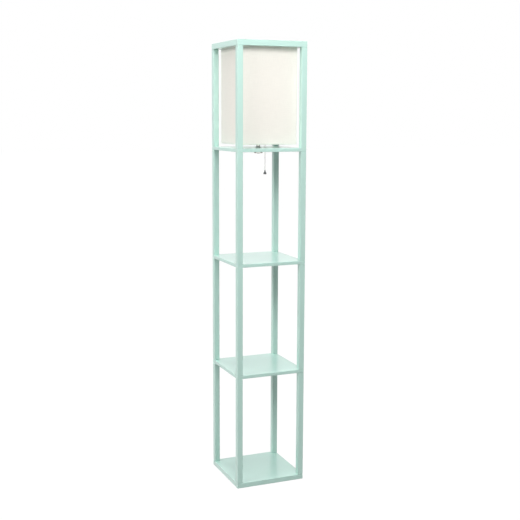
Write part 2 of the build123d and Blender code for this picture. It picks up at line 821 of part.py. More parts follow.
def bulb_glass():
    """Blown envelope, open at the neck."""
    bottom = bulb_base_top - bulb_neck_seat
    inside = glass_form(bulb_glass_wall, bottom - cut_margin, globe_steps // 2)
    return glass_form(0, bottom, globe_steps) - inside


def bulb_base():
    """Screw base: a thin cup with a tapered foot, open round the insulator."""
    outer = bulb_base_radius
    inner = outer - bulb_base_wall
    opening = bulb_insulator_radius + bulb_insulator_room
    floor = bulb_base_bottom + bulb_base_wall
    return turned(
        [
            (opening, bulb_base_bottom),
            (outer - bulb_base_taper, bulb_base_bottom),
            (outer, bulb_base_bottom + bulb_base_taper),
            (outer, bulb_base_top),
            (inner, bulb_base_top),
            (inner, bulb_base_bottom + bulb_base_taper),
            (opening, floor),
        ]
    )


def bulb_contact():
    """Insulator with the end contact under it, on which the base turns."""
    return turned(
        [
            (0, bulb_tip),
            (bulb_tip_radius - bulb_tip_easing, bulb_tip),
            (bulb_tip_radius, bulb_tip + bulb_tip_easing),
            (bulb_insulator_radius, bulb_base_bottom),
            (bulb_insulator_radius, bulb_base_bottom + bulb_base_wall),
            (0, bulb_base_bottom + bulb_base_wall),
        ]
    )


# ---- Nodes ---------------------------------------------------------------------------------------------
os.makedirs("parts", exist_ok=True)

save("base_board", base_board())
save("lower_shelf", board(lower_shelf_bottom, shelf_thickness))
save("upper_shelf", board(upper_shelf_bottom, shelf_thickness))
save("lamp_shelf", lamp_shelf())

for corner, (corner_x, corner_y) in corners.items():
    save("lower_post_" + corner, post(corner_x, corner_y, base_top, lower_post_length, True))
    save("middle_post_" + corner, post(corner_x, corner_y, lower_shelf_top, middle_post_length, False))
    save("upper_post_" + corner, post(corner_x, corner_y, upper_shelf_top, upper_post_length, False))
    save("lamp_post_" + corner, post(corner_x, corner_y, lamp_shelf_top, lamp_post_length, False))

lap_level = frame_bottom + rail_height / 2
above = (lap_level, frame_top + cut_margin)
below = (frame_bottom - cut_margin, lap_level)
save("frame_rail_front", rail(-1, 0, *above, ("front_left", "front_right")))
save("frame_rail_rear", rail(1, 0, *above, ("rear_left", "rear_right")))
save("frame_rail_right", rail(-1, 90, *below, ("front_right", "rear_right")))
save("frame_rail_left", rail(1, 90, *below, ("front_left", "rear_left")))

insert_bottoms = [
    base_top,
    lower_shelf_bottom - insert_length,
    upper_shelf_bottom - insert_length,
    lamp_shelf_bottom - insert_length,
    frame_bottom - insert_length,
]
stud_boards = [
    (lower_shelf_bottom, lower_shelf_top),
    (upper_shelf_bottom, upper_shelf_top),
    (lamp_shelf_bottom, lamp_shelf_top),
]
places = list(corners.values())
save("post_inserts", *[insert(x, y, low) for x, y in places for low in insert_bottoms])
save("post_studs", *[stud(x, y, low, high) for x, y in places for low, high in stud_boards])
base_bolt_tip = base_top + thread_bite
frame_bolt_tip = frame_bottom - thread_bite
save("base_bolts", *[bolt(x, y, base_bottom, 1, base_bolt_tip) for x, y in places])
save("frame_bolts", *[bolt(x, y, frame_top, -1, frame_bolt_tip) for x, y in places])
save("bolt_plugs", *[bolt_plug(x, y) for x, y in places])
pad_share = (half_width - pad_inset) / post_centre
save("foot_pads", *[foot_pad(x * pad_share, y * pad_share) for x, y in places])

save("shade_fabric", shade_fabric())
save("shade_liner", shade_liner())
save("shade_top_wire", wire_square(shade_top - wire_rise))
save("shade_carrier", shade_carrier())
save("shade_ring_nut", shade_ring_nut())

washer_hole = nipple_radius + bolt_hole_room
save("nipple", tube(nipple_radius, nipple_bore_radius, canopy_bottom, nipple_top))
save("shelf_washer", tube(washer_radius, washer_hole, lamp_shelf_top, locknut_bottom))
save("shelf_locknut", shelf_locknut())
save("canopy_cap", canopy_cap())
save("cord_bushing", cord_bushing())

save("socket_cap", socket_cap())
save("socket_shell", socket_shell())
save("socket_liner", socket_liner())
save("switch_body", switch_body())
save("screw_shell", screw_shell())
save("centre_contact", centre_contact())
save("terminal_screws", terminal_screw(0), terminal_screw(180))

save("switch_lever", switch_lever())
save("lever_pin", pin(lever_pivot_offset))
save("ratchet_wheel", ratchet_wheel())
save("wheel_axle", pin(wheel_offset))
save("return_spring", return_spring())

save("chain_grommet", chain_grommet())
save("pull_chain_upper", pull_chain_upper())
save("pull_chain_bead", pull_chain_bead())
save("pull_chain_lower", pull_chain_lower())
save("pull_knob", pull_knob())

save("bulb_glass", bulb_glass())
save("bulb_base", bulb_base())
save("bulb_contact", bulb_contact())
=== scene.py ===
import math

import bmesh
import bpy
import numpy as np
from mathutils import Matrix, Vector


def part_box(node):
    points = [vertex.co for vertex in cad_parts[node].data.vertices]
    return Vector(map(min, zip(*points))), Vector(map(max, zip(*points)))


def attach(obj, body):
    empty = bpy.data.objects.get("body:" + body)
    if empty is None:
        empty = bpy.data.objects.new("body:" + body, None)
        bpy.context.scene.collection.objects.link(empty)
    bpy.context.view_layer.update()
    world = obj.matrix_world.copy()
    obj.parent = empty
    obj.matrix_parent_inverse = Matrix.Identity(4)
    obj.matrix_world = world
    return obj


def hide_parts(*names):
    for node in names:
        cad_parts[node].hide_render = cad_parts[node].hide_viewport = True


bl_info = {
    "name": "Shelf Floor Lamp",
    "version": (1, 0, 0),
    "blender": (4, 5, 0),
    "location": "View3D > Sidebar > Floor Lamp",
    "description": "Dresses the packed shelf floor lamp and sets up its studio",
    "category": "Add Mesh",
}

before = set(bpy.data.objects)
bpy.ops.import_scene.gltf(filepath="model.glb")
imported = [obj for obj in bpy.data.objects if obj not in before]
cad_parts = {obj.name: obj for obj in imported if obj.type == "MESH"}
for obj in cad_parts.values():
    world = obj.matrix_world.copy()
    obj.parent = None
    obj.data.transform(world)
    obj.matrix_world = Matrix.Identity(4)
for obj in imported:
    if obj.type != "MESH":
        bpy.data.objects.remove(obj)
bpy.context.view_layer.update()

MM = 0.001
TURN = 2 * math.pi
SHARP = math.radians(32)  # an edge that bends by more than this stays crisp
CLEAR = 2 * MM  # how far a cutter runs past the face that it opens


# ---- Sizes and colours that a user would change ----
def length(name, description, millimetres):
    """A length property, given in millimetres and kept in metres."""
    return bpy.props.FloatProperty(
        name=name, description=description, default=millimetres * MM, unit="LENGTH", precision=5
    )


def linear(hex_colour):
    """Linear colour of an sRGB hex value: c/12.92 below 0.04045, else ((c + 0.055)/1.055)^2.4."""
    srgb = np.array([int(hex_colour[i : i + 2], 16) / 255 for i in (0, 2, 4)])
    value = np.where(srgb <= 0.04045, srgb / 12.92, ((srgb + 0.055) / 1.055) ** 2.4)
    return (*value.tolist(), 1.0)


def colour(name, description, hex_colour):
    """A colour property, given as an sRGB hex value."""
    return bpy.props.FloatVectorProperty(
        name=name, description=description, default=linear(hex_colour), size=4, subtype="COLOR", min=0, max=1
    )


class LampSizes(bpy.types.PropertyGroup):
    """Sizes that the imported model's boxes don't give."""

    arris: length("Arris", "Rounding of the painted upright edges", 1.2)
    edge_roll: length("Edge roll", "Rounding round the faces of boards and rails", 1.1)
    post_end: length("Post end", "Rounding round the ends of the posts", 1.15)
    neck: length("Neck", "Height of the drawn-in neck where a post meets a board", 1.3)
    bolt_hole: length("Bolt hole", "Radius of the holes in the boards", 3.3)
    grommet_hole: length("Grommet hole", "Radius of the lamp shelf's hole for the chain's grommet", 3.85)
    insert_bore: length("Insert bore", "Radius of the bores for the threaded inserts", 4.8)
    insert_depth: length("Insert depth", "Depth of the bores for the threaded inserts", 15.0)
    insert_length: length("Insert length", "Length of the threaded inserts", 13.0)
    stud_bore: length("Stud bore", "Radius of the bores that hold the studs", 3.05)
    stud_depth: length("Stud depth", "Depth of the bores that hold the studs", 24.0)
    stud: length("Stud", "Radius of the studs and bolts", 3.0)
    bite: length("Bite", "How far a stud or a bolt reaches into an insert", 10.0)
    counterbore: length("Counterbore", "Radius of the recesses for bolt heads", 6.3)
    counterbore_depth: length("Counterbore depth", "Depth of the recesses for bolt heads", 6.0)
    cloth: length("Cloth", "Thickness of the shade's cloth", 0.6)
    liner: length("Liner", "Thickness of the shade's liner", 0.6)
    shade_corner: length("Shade corner", "Corner radius of the shade", 2.5)
    hem: length("Hem", "Height of the cloth turned in over the wires", 8.0)
    wire: length("Wire", "Radius of the shade's frame wire", 1.3)
    bead: length("Bead", "Radius of a chain bead", 1.6)
    bead_pitch: length("Bead pitch", "From one chain bead to the next", 4.2)
    link: length("Link", "Radius of the wire between beads", 0.5)
    bulb_pitch: length("Bulb thread", "Pitch of the bulb's screw thread", 3.62857)
    sheet: length("Sheet", "Thickness of the lampholder's metal", 0.5)
    fit: length("Fit", "Radial room of threads, pins and seats", 0.05)
    room: length("Room", "Free space round what moves or is fastened in the moulded body", 0.6)
    half_swing: bpy.props.FloatProperty(
        name="Half swing", description="Lever's angle above level at rest", default=math.radians(12),
        subtype="ANGLE",
    )


class LampColours(bpy.types.PropertyGroup):
    """Colours of the finishes."""

    paint: colour("Paint", "Mint lacquer on the posts, boards and rails", "C0E3D9")
    cloth: colour("Cloth", "Linen of the shade", "F4F0E8")
    styrene: colour("Styrene", "Liner of the shade", "EFEDE6")
    knob: colour("Knob", "Gunmetal plating of the pull knob", "6A6A6C")
    nickel: colour("Nickel", "Plating of the cap, the lampholder and the chain", "E2E0DB")
    brass: colour("Brass", "Nipple, contacts and screw shell", "D9B469")
    floor: colour("Floor", "Studio floor", "AEAEAC")


# ---- Grids of points ----
def grid(points, round_rows=False, round_columns=False):
    """A grid of points (rows, columns, 3), which may close on itself in either direction."""
    return points, round_rows, round_columns


def angles(around):
    """Equal steps once round, from 0."""
    return np.arange(around) * TURN / around


def ringed(rings, around):
    """Rings of (radius, height) as points: x = r cos t, y = r sin t, z = height. A radius is one number
    or one for each t."""
    t = angles(around)
    radius = np.stack([r + 0 * t for r, _ in rings])
    height = np.stack([z + 0 * t for _, z in rings])
    return np.stack([radius * np.cos(t), radius * np.sin(t), height], -1)


def turned(outline, closed=False, around=48):
    """Outline of (radius, height) turned about the upright axis."""
    return grid(ringed(outline, around), closed, True)


def moved(shape, x, y=0.0):
    """The same grid at another place in plan."""
    points, *closing = shape
    return grid(points + np.array([x, y, 0]), *closing)


def across(shape, x=0.0, z=0.0):
    """The same grid with its upright axis laid along y."""
    points, *closing = shape
    return grid(points[..., [0, 2, 1]] + np.array([x, 0, z]), *closing)


def eased(outline, size, closed=True, steps=5):
    """Outline with each corner C drawn as the curve (1-t)^2 A + 2t(1-t) C + t^2 B, where A and B lie on
    its two sides, the size (or a share of a shorter side) away. An open outline keeps its two ends."""
    corner = np.asarray(outline, float)
    before, after = np.roll(corner, 1, 0), np.roll(corner, -1, 0)
    size = np.broadcast_to(np.asarray(size, float), len(corner))[:, None]
    reach = []
    for neighbour in (before, after):
        side = neighbour - corner
        span = np.linalg.norm(side, axis=1, keepdims=True)
        reach.append(corner + side * np.minimum(size / np.maximum(span, 1e-12), 0.49))
    t = np.linspace(0, 1, steps)[None, :, None]
    a, c, b = (value[:, None, :] for value in (reach[0], corner, reach[1]))
    curve = (1 - t) ** 2 * a + 2 * t * (1 - t) * c + t**2 * b
    if closed:
        return curve.reshape(-1, 2)
    return np.concatenate([corner[:1], curve[1:-1].reshape(-1, 2), corner[-1:]])


def bowl(waist, rim, floor, top):
    """Quarter of an ellipse from (waist, floor) out and up to (rim, top)."""
    angle = np.linspace(0, TURN / 4, 13)
    return np.stack([waist + (rim - waist) * np.sin(angle), floor + (top - floor) * (1 - np.cos(angle))], -1)


def square_walk(arc_steps=4, side_steps=1):
    """Once round a square with rounded corners, as the corner's signs s and the outward direction n:
    a point is s times the distance to the corner's centre plus n times the corner's radius."""
    quadrant = np.arange(4)
    start = quadrant * TURN / 4
    signs = np.stack([np.sign(np.cos(start + TURN / 8)), np.sign(np.sin(start + TURN / 8))], -1)
    arc = start[:, None] + np.linspace(0, TURN / 4, arc_steps + 1)
    arc_n = np.stack([np.cos(arc), np.sin(arc)], -1)
    arc_s = np.repeat(signs[:, None], arc_steps + 1, 1)
    share = (np.arange(1, side_steps) / side_steps)[None, :, None]
    side_s = signs[:, None] * (1 - share) + np.roll(signs, -1, 0)[:, None] * share
    side_n = np.repeat(arc_n[:, -1:], side_steps - 1, 1)
    s = np.concatenate([arc_s, side_s], 1).reshape(-1, 2)
    n = np.concatenate([arc_n, side_n], 1).reshape(-1, 2)
    return s, n


def at_heights(plan, height):
    """Points of plan rows (rows, columns, 2), each row at its own height."""
    return np.concatenate([plan, np.broadcast_to(height, (*plan.shape[:2], 1))], -1)


def rolled_block(low, high, corner, roll, steps=4, neck=0):
    """Block with rounded upright edges and rolled top and bottom edges. Level by level the outline is
    drawn in by roll (1 - sin a) at a height of roll (1 - cos a) from the face, a from 0 to 90 degrees.
    A neck keeps the outline drawn in by roll for that height at both ends."""
    low, high = np.array(low, float), np.array(high, float)
    middle, half = (low + high) / 2, (high - low) / 2
    s, n = square_walk(steps)
    angle = np.linspace(0, TURN / 4, steps + 1)
    inset = roll * (1 - np.sin(angle))
    rise = neck + roll * (1 - np.cos(angle))
    if neck:
        inset, rise = np.append(roll, inset), np.append(0, rise)
    inset = np.concatenate([inset, inset[::-1]])[:, None, None]
    level = np.concatenate([low[2] + rise, high[2] - rise[::-1]])[:, None, None]
    return grid(at_heights(middle[:2] + s * (half[:2] - corner) + n * (corner - inset), level), False, True)


def along_square(section, half, corner, arc_steps=6, side_steps=1):
    """Section of (inset, height) carried round a square whose corners keep one radius:
    (x, y) = s (half - inset - corner) + n corner, z = height."""
    section = np.asarray(section, float)
    s, n = square_walk(arc_steps, side_steps)
    inset, height = section[:, 0, None, None], section[:, 1, None, None]
    return at_heights(s * (half - inset - corner) + n * corner, height)


def unit_steps(path):
    """Direction of a path at each of its points."""
    step = np.gradient(path, axis=0)
    return step / np.linalg.norm(step, axis=1, keepdims=True)


def along_path(path, radius, around=12):
    """Round section carried along a path: path + r (cos a side + sin a up), side and up square to it."""
    run = unit_steps(path)
    side = np.cross(run, [0.0, 0.0, 1.0])
    side /= np.linalg.norm(side, axis=1, keepdims=True)
    up = np.cross(side, run)
    angle = angles(around)[None, :, None]
    round_way = np.cos(angle) * side[:, None] + np.sin(angle) * up[:, None]
    return grid(path[:, None] + radius[:, None, None] * round_way, False, True)


def bent_leaf(path, thickness, width):
    """Flat section carried along a path of (x, z): path + v normal + u along y, where (u, v) runs round
    the section."""
    run = unit_steps(path)
    u, v = np.array([width, thickness]) / 2
    u, v = eased([(-u, -v), (u, -v), (u, v), (-u, v)], thickness * 0.3, steps=3).T
    x = path[:, :1] - run[:, 1:] * v
    z = path[:, 1:] + run[:, :1] * v
    return grid(np.stack([x, u + 0 * x, z], -1), False, True)


def threaded(crest, depth, pitch, bottom, top, around=32, rows=6, runout=1.0):
    """Right-handed thread: r = crest - depth (1 - w) with w = 0.5 - 0.5 cos(turn z/pitch - t). The depth
    grows from nothing over the runout, in pitches, at either end."""
    count = max(4, int(round((top - bottom) / pitch * rows)))
    z = np.linspace(bottom, top, count + 1)[:, None]
    angle = angles(around)[None, :]
    wave = 0.5 - 0.5 * np.cos(TURN * z / pitch - angle)
    fade = np.clip(np.minimum(z - bottom, top - z) / (runout * pitch), 0, 1)
    radius = crest - depth * (1 - wave) * fade
    return np.stack([radius * np.cos(angle), radius * np.sin(angle), z + 0 * angle], -1)


def hexagon(flat, around, corner_first=False):
    """Radius of a hexagon at each step round: flat / cos(angle to the nearest flat's middle). It starts
    at the middle of a flat, or else at a corner."""
    angle = angles(around) + (0 if corner_first else TURN / 12)
    return flat / np.cos(angle % (TURN / 6) - TURN / 12)


# ---- Cutters ----
def rod(radius, bottom, top, x=0.0, y=0.0, around=32):
    """Closed upright rod."""
    return moved(turned([(0, bottom), (radius, bottom), (radius, top), (0, top)], around=around), x, y)


def stepped_hole(sizes, mouth, end):
    """Closed cutter for a bolt: a recess for its head at the mouth, and a narrower hole out at the end."""
    inward = math.copysign(1, end - mouth)
    seat = mouth + inward * sizes.counterbore_depth
    start, finish = mouth - inward * CLEAR, end + inward * CLEAR
    outline = [(0, start), (sizes.counterbore, start), (sizes.counterbore, seat), (sizes.bolt_hole, seat),
               (sizes.bolt_hole, finish), (0, finish)]
    return turned(outline, around=32)


def window(half_width, level, half_height, start, end, corner):
    """Block along x with rounded long edges, for cutting a window."""
    points, *closing = rolled_block(
        (-half_width, level - half_height, start), (half_width, level + half_height, end), corner, corner / 50
    )
    return grid(points[..., [2, 0, 1]], *closing)


# ---- Meshes and pieces ----
def skin(name, *shapes, fill=True):
    """One mesh from several grids. Points that meet are merged, and open ends are closed."""
    vertices, faces, first = [], [], 0
    for points, round_rows, round_columns in shapes:
        rows, columns = points.shape[:2]
        row = np.arange(rows if round_rows else rows - 1)[:, None]
        column = np.arange(columns if round_columns else columns - 1)[None, :]
        next_row, next_column = (row + 1) % rows, (column + 1) % columns
        quads = np.stack(
            [row * columns + column, row * columns + next_column,
             next_row * columns + next_column, next_row * columns + column], -1,
        )
        vertices.append(points.reshape(-1, 3))
        faces.append(quads.reshape(-1, 4) + first)
        first += rows * columns
    mesh = bpy.data.meshes.new(name)
    mesh.from_pydata(np.concatenate(vertices).tolist(), [], np.concatenate(faces).tolist())
    shape = bmesh.new()
    shape.from_mesh(mesh)
    bmesh.ops.remove_doubles(shape, verts=shape.verts, dist=1e-7)
    if fill:
        bmesh.ops.holes_fill(shape, edges=[e for e in shape.edges if e.is_boundary], sides=0)
    bmesh.ops.recalc_face_normals(shape, faces=shape.faces)
    shape.to_mesh(mesh)
    shape.free()
    return smooth(mesh)


def smooth(mesh, sharp=SHARP):
    """The mesh with smooth shading, broken where faces meet at more than an angle."""
    mesh.polygons.foreach_set("use_smooth", np.ones(len(mesh.polygons), bool))
    mesh.set_sharp_from_angle(angle=sharp)
    mesh.update()
    return mesh


def carve(mesh, *cutters):
    """The mesh with closed grids cut out of it."""
    whole = bpy.data.objects.new("whole", mesh)
    tool = bpy.data.objects.new("tool", skin("tool", *cutters))
    for item in (whole, tool):
        bpy.context.scene.collection.objects.link(item)
    cut = whole.modifiers.new("cut", "BOOLEAN")
    cut.object, cut.solver, cut.operation = tool, "EXACT", "DIFFERENCE"
    depsgraph = bpy.context.evaluated_depsgraph_get()
    result = bpy.data.meshes.new_from_object(whole.evaluated_get(depsgraph))
    before, after = len(mesh.vertices), len(result.vertices)
    if after == before or after < before / 2:
        raise RuntimeError("a cut failed on " + mesh.name)
    bpy.data.objects.remove(whole)
    bpy.data.objects.remove(tool)
    return smooth(result)


def middle(node):
    """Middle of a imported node's box."""
    low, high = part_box(node)
    return tuple((a + b) / 2 for a, b in zip(low, high))


def place(name, mesh, node, finish, grain="", body="lamp", even=True):
    """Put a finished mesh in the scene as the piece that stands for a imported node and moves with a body.
    Painted wood also says along which axis its grain runs."""
    piece = bpy.data.objects.new(name, mesh)
    bpy.context.scene.collection.objects.link(piece)
    mesh.materials.clear()
    mesh.materials.append(FINISHES[finish](*grain))
    if even:
        piece.modifiers.new("even light", "WEIGHTED_NORMAL").keep_sharp = True
    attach(piece, body)
    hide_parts(node)
    return piece


# ---- Materials ----
def add_node(tree, kind, inputs=None, **settings):
    """Add a node, set it up, and give each input a value or a link."""
    node = tree.nodes.new(kind)
    for key, value in settings.items():
        setattr(node, key, value)
    for key, value in (inputs or {}).items():
        if isinstance(value, bpy.types.NodeSocket):
            tree.links.new(value, node.inputs[key])
        else:
            node.inputs[key].default_value = value
    return node


def new_finish(name, sockets, coordinates="Object"):
    """A material with its shader, and the coordinates for its patterns."""
    material = bpy.data.materials.new(name)
    material.use_nodes = True
    tree = material.node_tree
    tree.nodes.clear()
    shader = add_node(tree, "ShaderNodeBsdfPrincipled", sockets)
    add_node(tree, "ShaderNodeOutputMaterial", {"Surface": shader.outputs[0]})
    where = add_node(tree, "ShaderNodeTexCoord").outputs[coordinates]
    return material, tree, shader, where


def chosen(name):
    """One of the user's colours."""
    return tuple(getattr(bpy.context.scene.lamp_colours, name))


def shift(tone, factor):
    """A tone lightened or darkened by a factor."""
    return (*[min(1.0, value * factor) for value in tone[:3]], 1.0)


def mottle(tree, shader, where, tone, size, spread):
    """Cloudy drift between two near tones, of a size in millimetres."""
    cloud = add_node(tree, "ShaderNodeTexNoise", {"Vector": where, "Scale": 1 / (size * MM), "Detail": 2.0})
    mix = add_node(
        tree, "ShaderNodeMix",
        {0: cloud.outputs[0], 6: shift(tone, 1 - spread), 7: shift(tone, 1 + spread)}, data_type="RGBA",
    )
    tree.links.new(mix.outputs[2], shader.inputs["Base Color"])


def vary_roughness(tree, shader, where, size, low, high):
    """Roughness that wanders between two values over a size in millimetres."""
    patch = add_node(tree, "ShaderNodeTexNoise", {"Vector": where, "Scale": 1 / (size * MM), "Detail": 3.0})
    span = add_node(tree, "ShaderNodeMapRange", {"Value": patch.outputs[0], "To Min": low, "To Max": high})
    tree.links.new(span.outputs[0], shader.inputs["Roughness"])


def relief(tree, shader, patterns, depth, strength):
    """Relief of one or more patterns laid over one another, to a depth in millimetres."""
    height, *others = patterns
    for other in others:
        height = add_node(tree, "ShaderNodeMath", {0: height, 1: other}, operation="ADD").outputs[0]
    bump = add_node(tree, "ShaderNodeBump", {"Height": height, "Distance": depth * MM, "Strength": strength})
    tree.links.new(bump.outputs[0], shader.inputs["Normal"])


def streaks(tree, where, spans, detail):
    """Streaks of fibre or thread, with a span in millimetres along each axis."""
    scale = [1 / (span * MM) for span in spans]
    spread_out = add_node(tree, "ShaderNodeMapping", {"Vector": where, "Scale": scale}).outputs[0]
    streak = add_node(tree, "ShaderNodeTexNoise", {"Vector": spread_out, "Scale": 1.0, "Detail": detail})
    return streak.outputs[0]


def mint_lacquer(grain):
    """Satin lacquer sprayed on sanded wood, whose grain runs along one axis: an even pale mint with a
    faint orange peel, and the grain just telegraphing through."""
    name = "mint satin lacquer on " + {"x": "sideways", "y": "deep", "z": "upright"}[grain] + " grain"
    if name in bpy.data.materials:
        return bpy.data.materials[name]
    tone = chosen("paint")
    material, tree, shader, where = new_finish(
        name, {"Base Color": tone, "Roughness": 0.3, "Coat Weight": 0.6, "Coat Roughness": 0.12}
    )
    mottle(tree, shader, where, tone, 160, 0.012)
    vary_roughness(tree, shader, where, 30, 0.27, 0.34)
    # wood fibres 1.4 mm apart and about 60 mm long
    fibre_spans = [60 if axis == grain else 1.4 for axis in "xyz"]
    fibres = streaks(tree, where, fibre_spans, 3.0)
    # orange peel of the sprayed coat, 1.8 mm across
    peel = add_node(tree, "ShaderNodeTexNoise", {"Vector": where, "Scale": 1 / (1.8 * MM), "Detail": 1.0})
    relief(tree, shader, (fibres, peel.outputs[0]), 0.02, 0.6)
    return material


def linen():
    """Plain-woven linen bonded to a stiff liner: matt, off-white, with thick and thin threads. The
    threads are 0.5 mm apart on the real cloth and are drawn at 1.1 mm so that they show."""
    tone = chosen("cloth")
    material, tree, shader, where = new_finish(
        "cream plain-woven linen",
        {"Base Color": tone, "Roughness": 0.92, "Sheen Weight": 0.15, "Sheen Roughness": 0.6}, "UV",
    )
    # a wave of scale 1 repeats every twentieth of a turn
    scale = TURN / 20 / (1.1 * MM)
    warp, weft = (
        add_node(
            tree, "ShaderNodeTexWave",
            {"Vector": where, "Scale": scale, "Distortion": 0.6, "Detail": 1.0, "Detail Scale": 0.4},
            bands_direction=direction,
        ).outputs[1]
        for direction in "XY"
    )
    weave = add_node(tree, "ShaderNodeMath", {0: warp, 1: weft}, operation="MAXIMUM").outputs[0]
    # slubs: thicker lengths of thread, 40 mm long and 1.2 mm wide, both ways
    first, second = (streaks(tree, where, spans, 2.0) for spans in ((40, 1.2, 1000), (1.2, 40, 1000)))
    slub = add_node(tree, "ShaderNodeMath", {0: first, 1: second}, operation="ADD").outputs[0]
    share = add_node(tree, "ShaderNodeMapRange", {"Value": slub, "From Min": 0.7, "From Max": 1.3})
    mix = add_node(
        tree, "ShaderNodeMix", {0: share.outputs[0], 6: shift(tone, 0.955), 7: shift(tone, 1.03)},
        data_type="RGBA",
    )
    tree.links.new(mix.outputs[2], shader.inputs["Base Color"])
    relief(tree, shader, (weave, slub), 0.12, 0.5)
    return material


def styrene():
    """Extruded white styrene sheet: matt, faintly warm, smooth."""
    tone = chosen("styrene")
    material, *parts = new_finish("matt white styrene sheet", {"Base Color": tone, "Roughness": 0.5})
    mottle(*parts, tone, 60, 0.01)
    vary_roughness(*parts, 30, 0.45, 0.55)
    return material


def plain_finish(name, tone, roughness, drift, spread, depth=0.0, grit=1.0, sockets=None):
    """A finish of one tone with a slight drift, and a fine relief of a depth and a grit, all of them in
    millimetres."""
    if name in bpy.data.materials:
        return bpy.data.materials[name]
    material, tree, shader, where = new_finish(
        name, {"Base Color": tone, "Roughness": roughness, **(sockets or {})}
    )
    mottle(tree, shader, where, tone, drift, spread)
    vary_roughness(tree, shader, where, drift, roughness * 0.85, roughness * 1.15)
    if depth:
        scale = 1 / (grit * MM)
        noise = add_node(tree, "ShaderNodeTexNoise", {"Vector": where, "Scale": scale, "Detail": 2.0})
        relief(tree, shader, (noise.outputs[0],), depth, 0.8)
    return material


METAL = {"Metallic": 1.0}


def white_wire():
    """Steel wire with white powder coat: softly glossy with a fine orange peel."""
    return plain_finish("white powder-coated wire", linear("EAE9E4"), 0.32, 10, 0.01, 0.03, 0.9)


def nickel():
    """Polished nickel plate on spun and pressed brass: warm silver, with faint polishing haze."""
    return plain_finish("polished nickel plate", chosen("nickel"), 0.14, 6, 0.02, 0.004, 0.8, METAL)


def gunmetal():
    """Turned zinc knob with a gunmetal plate: mid grey, satin."""
    return plain_finish("satin gunmetal plate", chosen("knob"), 0.3, 4, 0.05, 0.006, 0.6, METAL)


def zinc():
    """Bright zinc plate on drawn steel: bluish grey with a dull crystalline mottle."""
    return plain_finish("zinc-plated steel", linear("BBBDC0"), 0.36, 3, 0.08, 0.01, 0.7, METAL)


def brass():
    """Plain rolled brass, lightly dulled by handling."""
    return plain_finish("rolled brass", chosen("brass"), 0.3, 5, 0.06, 0.008, 0.8, METAL)


def aluminium():
    """Thin rolled aluminium of a bulb's base: pale and slightly drawn."""
    return plain_finish("rolled aluminium", linear("D4D5D8"), 0.34, 4, 0.03, 0.008, 0.8, METAL)


def phenolic():
    """Moulded black phenolic: hard, dark, half glossy."""
    return plain_finish("moulded black phenolic", linear("1F1E1D"), 0.38, 10, 0.1, 0.01, 1.5)


def fibre():
    """Pressed vulcanised fibre paper: dark brown and dull."""
    return plain_finish("brown fibre paper", linear("5B4432"), 0.8, 4, 0.12, 0.03, 0.6)


def rubber():
    """Moulded grey rubber: matt and slightly dusty."""
    return plain_finish("grey moulded rubber", linear("6C6C6A"), 0.75, 6, 0.08, 0.04, 0.8)


def mint_cover():
    """Moulded polyethylene dyed to the paint's tone: a little glossier than the lacquer."""
    return plain_finish("mint moulded cover", chosen("paint"), 0.35, 10, 0.015, 0.01, 1.0)


def opal():
    """Blown glass with a white powder lining: a glossy skin over a soft white."""
    return plain_finish("opal bulb glass", linear("F4F3EE"), 0.12, 50, 0.01,
                        sockets={"Coat Weight": 0.5, "Coat Roughness": 0.03})


def dark_card():
    """Black paper board: matt, and dark enough to draw an edge in a mirror."""
    return plain_finish("matt dark card", linear("1C1C1C"), 0.9, 200, 0.05)


FINISHES = {
    "mint_painted_wood": mint_lacquer,
    "mint_plastic": mint_cover,
    "cream_linen": linen,
    "white_styrene": styrene,
    "white_wire": white_wire,
    "polished_nickel": nickel,
    "dark_metal": gunmetal,
    "zinc_steel": zinc,
    "brass": brass,
    "plain_aluminium": aluminium,
    "black_phenolic": phenolic,
    "brown_fibre": fibre,
    "grey_rubber": rubber,
    "opal_glass": opal,
}


# ---- Boards, posts and rails ----
SHELVES = ("lower_shelf", "upper_shelf", "lamp_shelf")
LEVELS = ("lower", "middle", "upper", "lamp")
CORNERS = ("front_left", "front_right", "rear_left", "rear_right")


def post_places():
    """Plan places of the posts' middles."""
    return [middle("lower_post_" + corner)[:2] for corner in CORNERS]


class LAMP_OT_boards(bpy.types.Operator):
    """Base board, two open shelves and the lamp shelf, with their holes"""

    bl_idname = "lamp.boards"
    bl_label = "Boards"

    def execute(self, context):
        sizes = context.scene.lamp_sizes
        for node in ("base_board", *SHELVES):
            low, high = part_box(node)
            below, above = low.z - CLEAR, high.z + CLEAR
            if node == "base_board":
                hole = stepped_hole(sizes, low.z, high.z)
            else:
                hole = rod(sizes.bolt_hole, below, above)
            holes = [moved(hole, x, y) for x, y in post_places()]
            if node == "lamp_shelf":
                nipple_low, nipple_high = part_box("nipple")
                nipple_hole = (nipple_high.y - nipple_low.y) / 2 + 0.3 * MM
                holes.append(rod(nipple_hole, below, above, middle("nipple")[0]))
                holes.append(rod(sizes.grommet_hole, below, above, middle("chain_grommet")[0]))
            slab = skin(node, rolled_block(low, high, sizes.arris, sizes.edge_roll))
            place("board_" + node, carve(slab, *holes), node, "mint_painted_wood", "x")
        return {"FINISHED"}


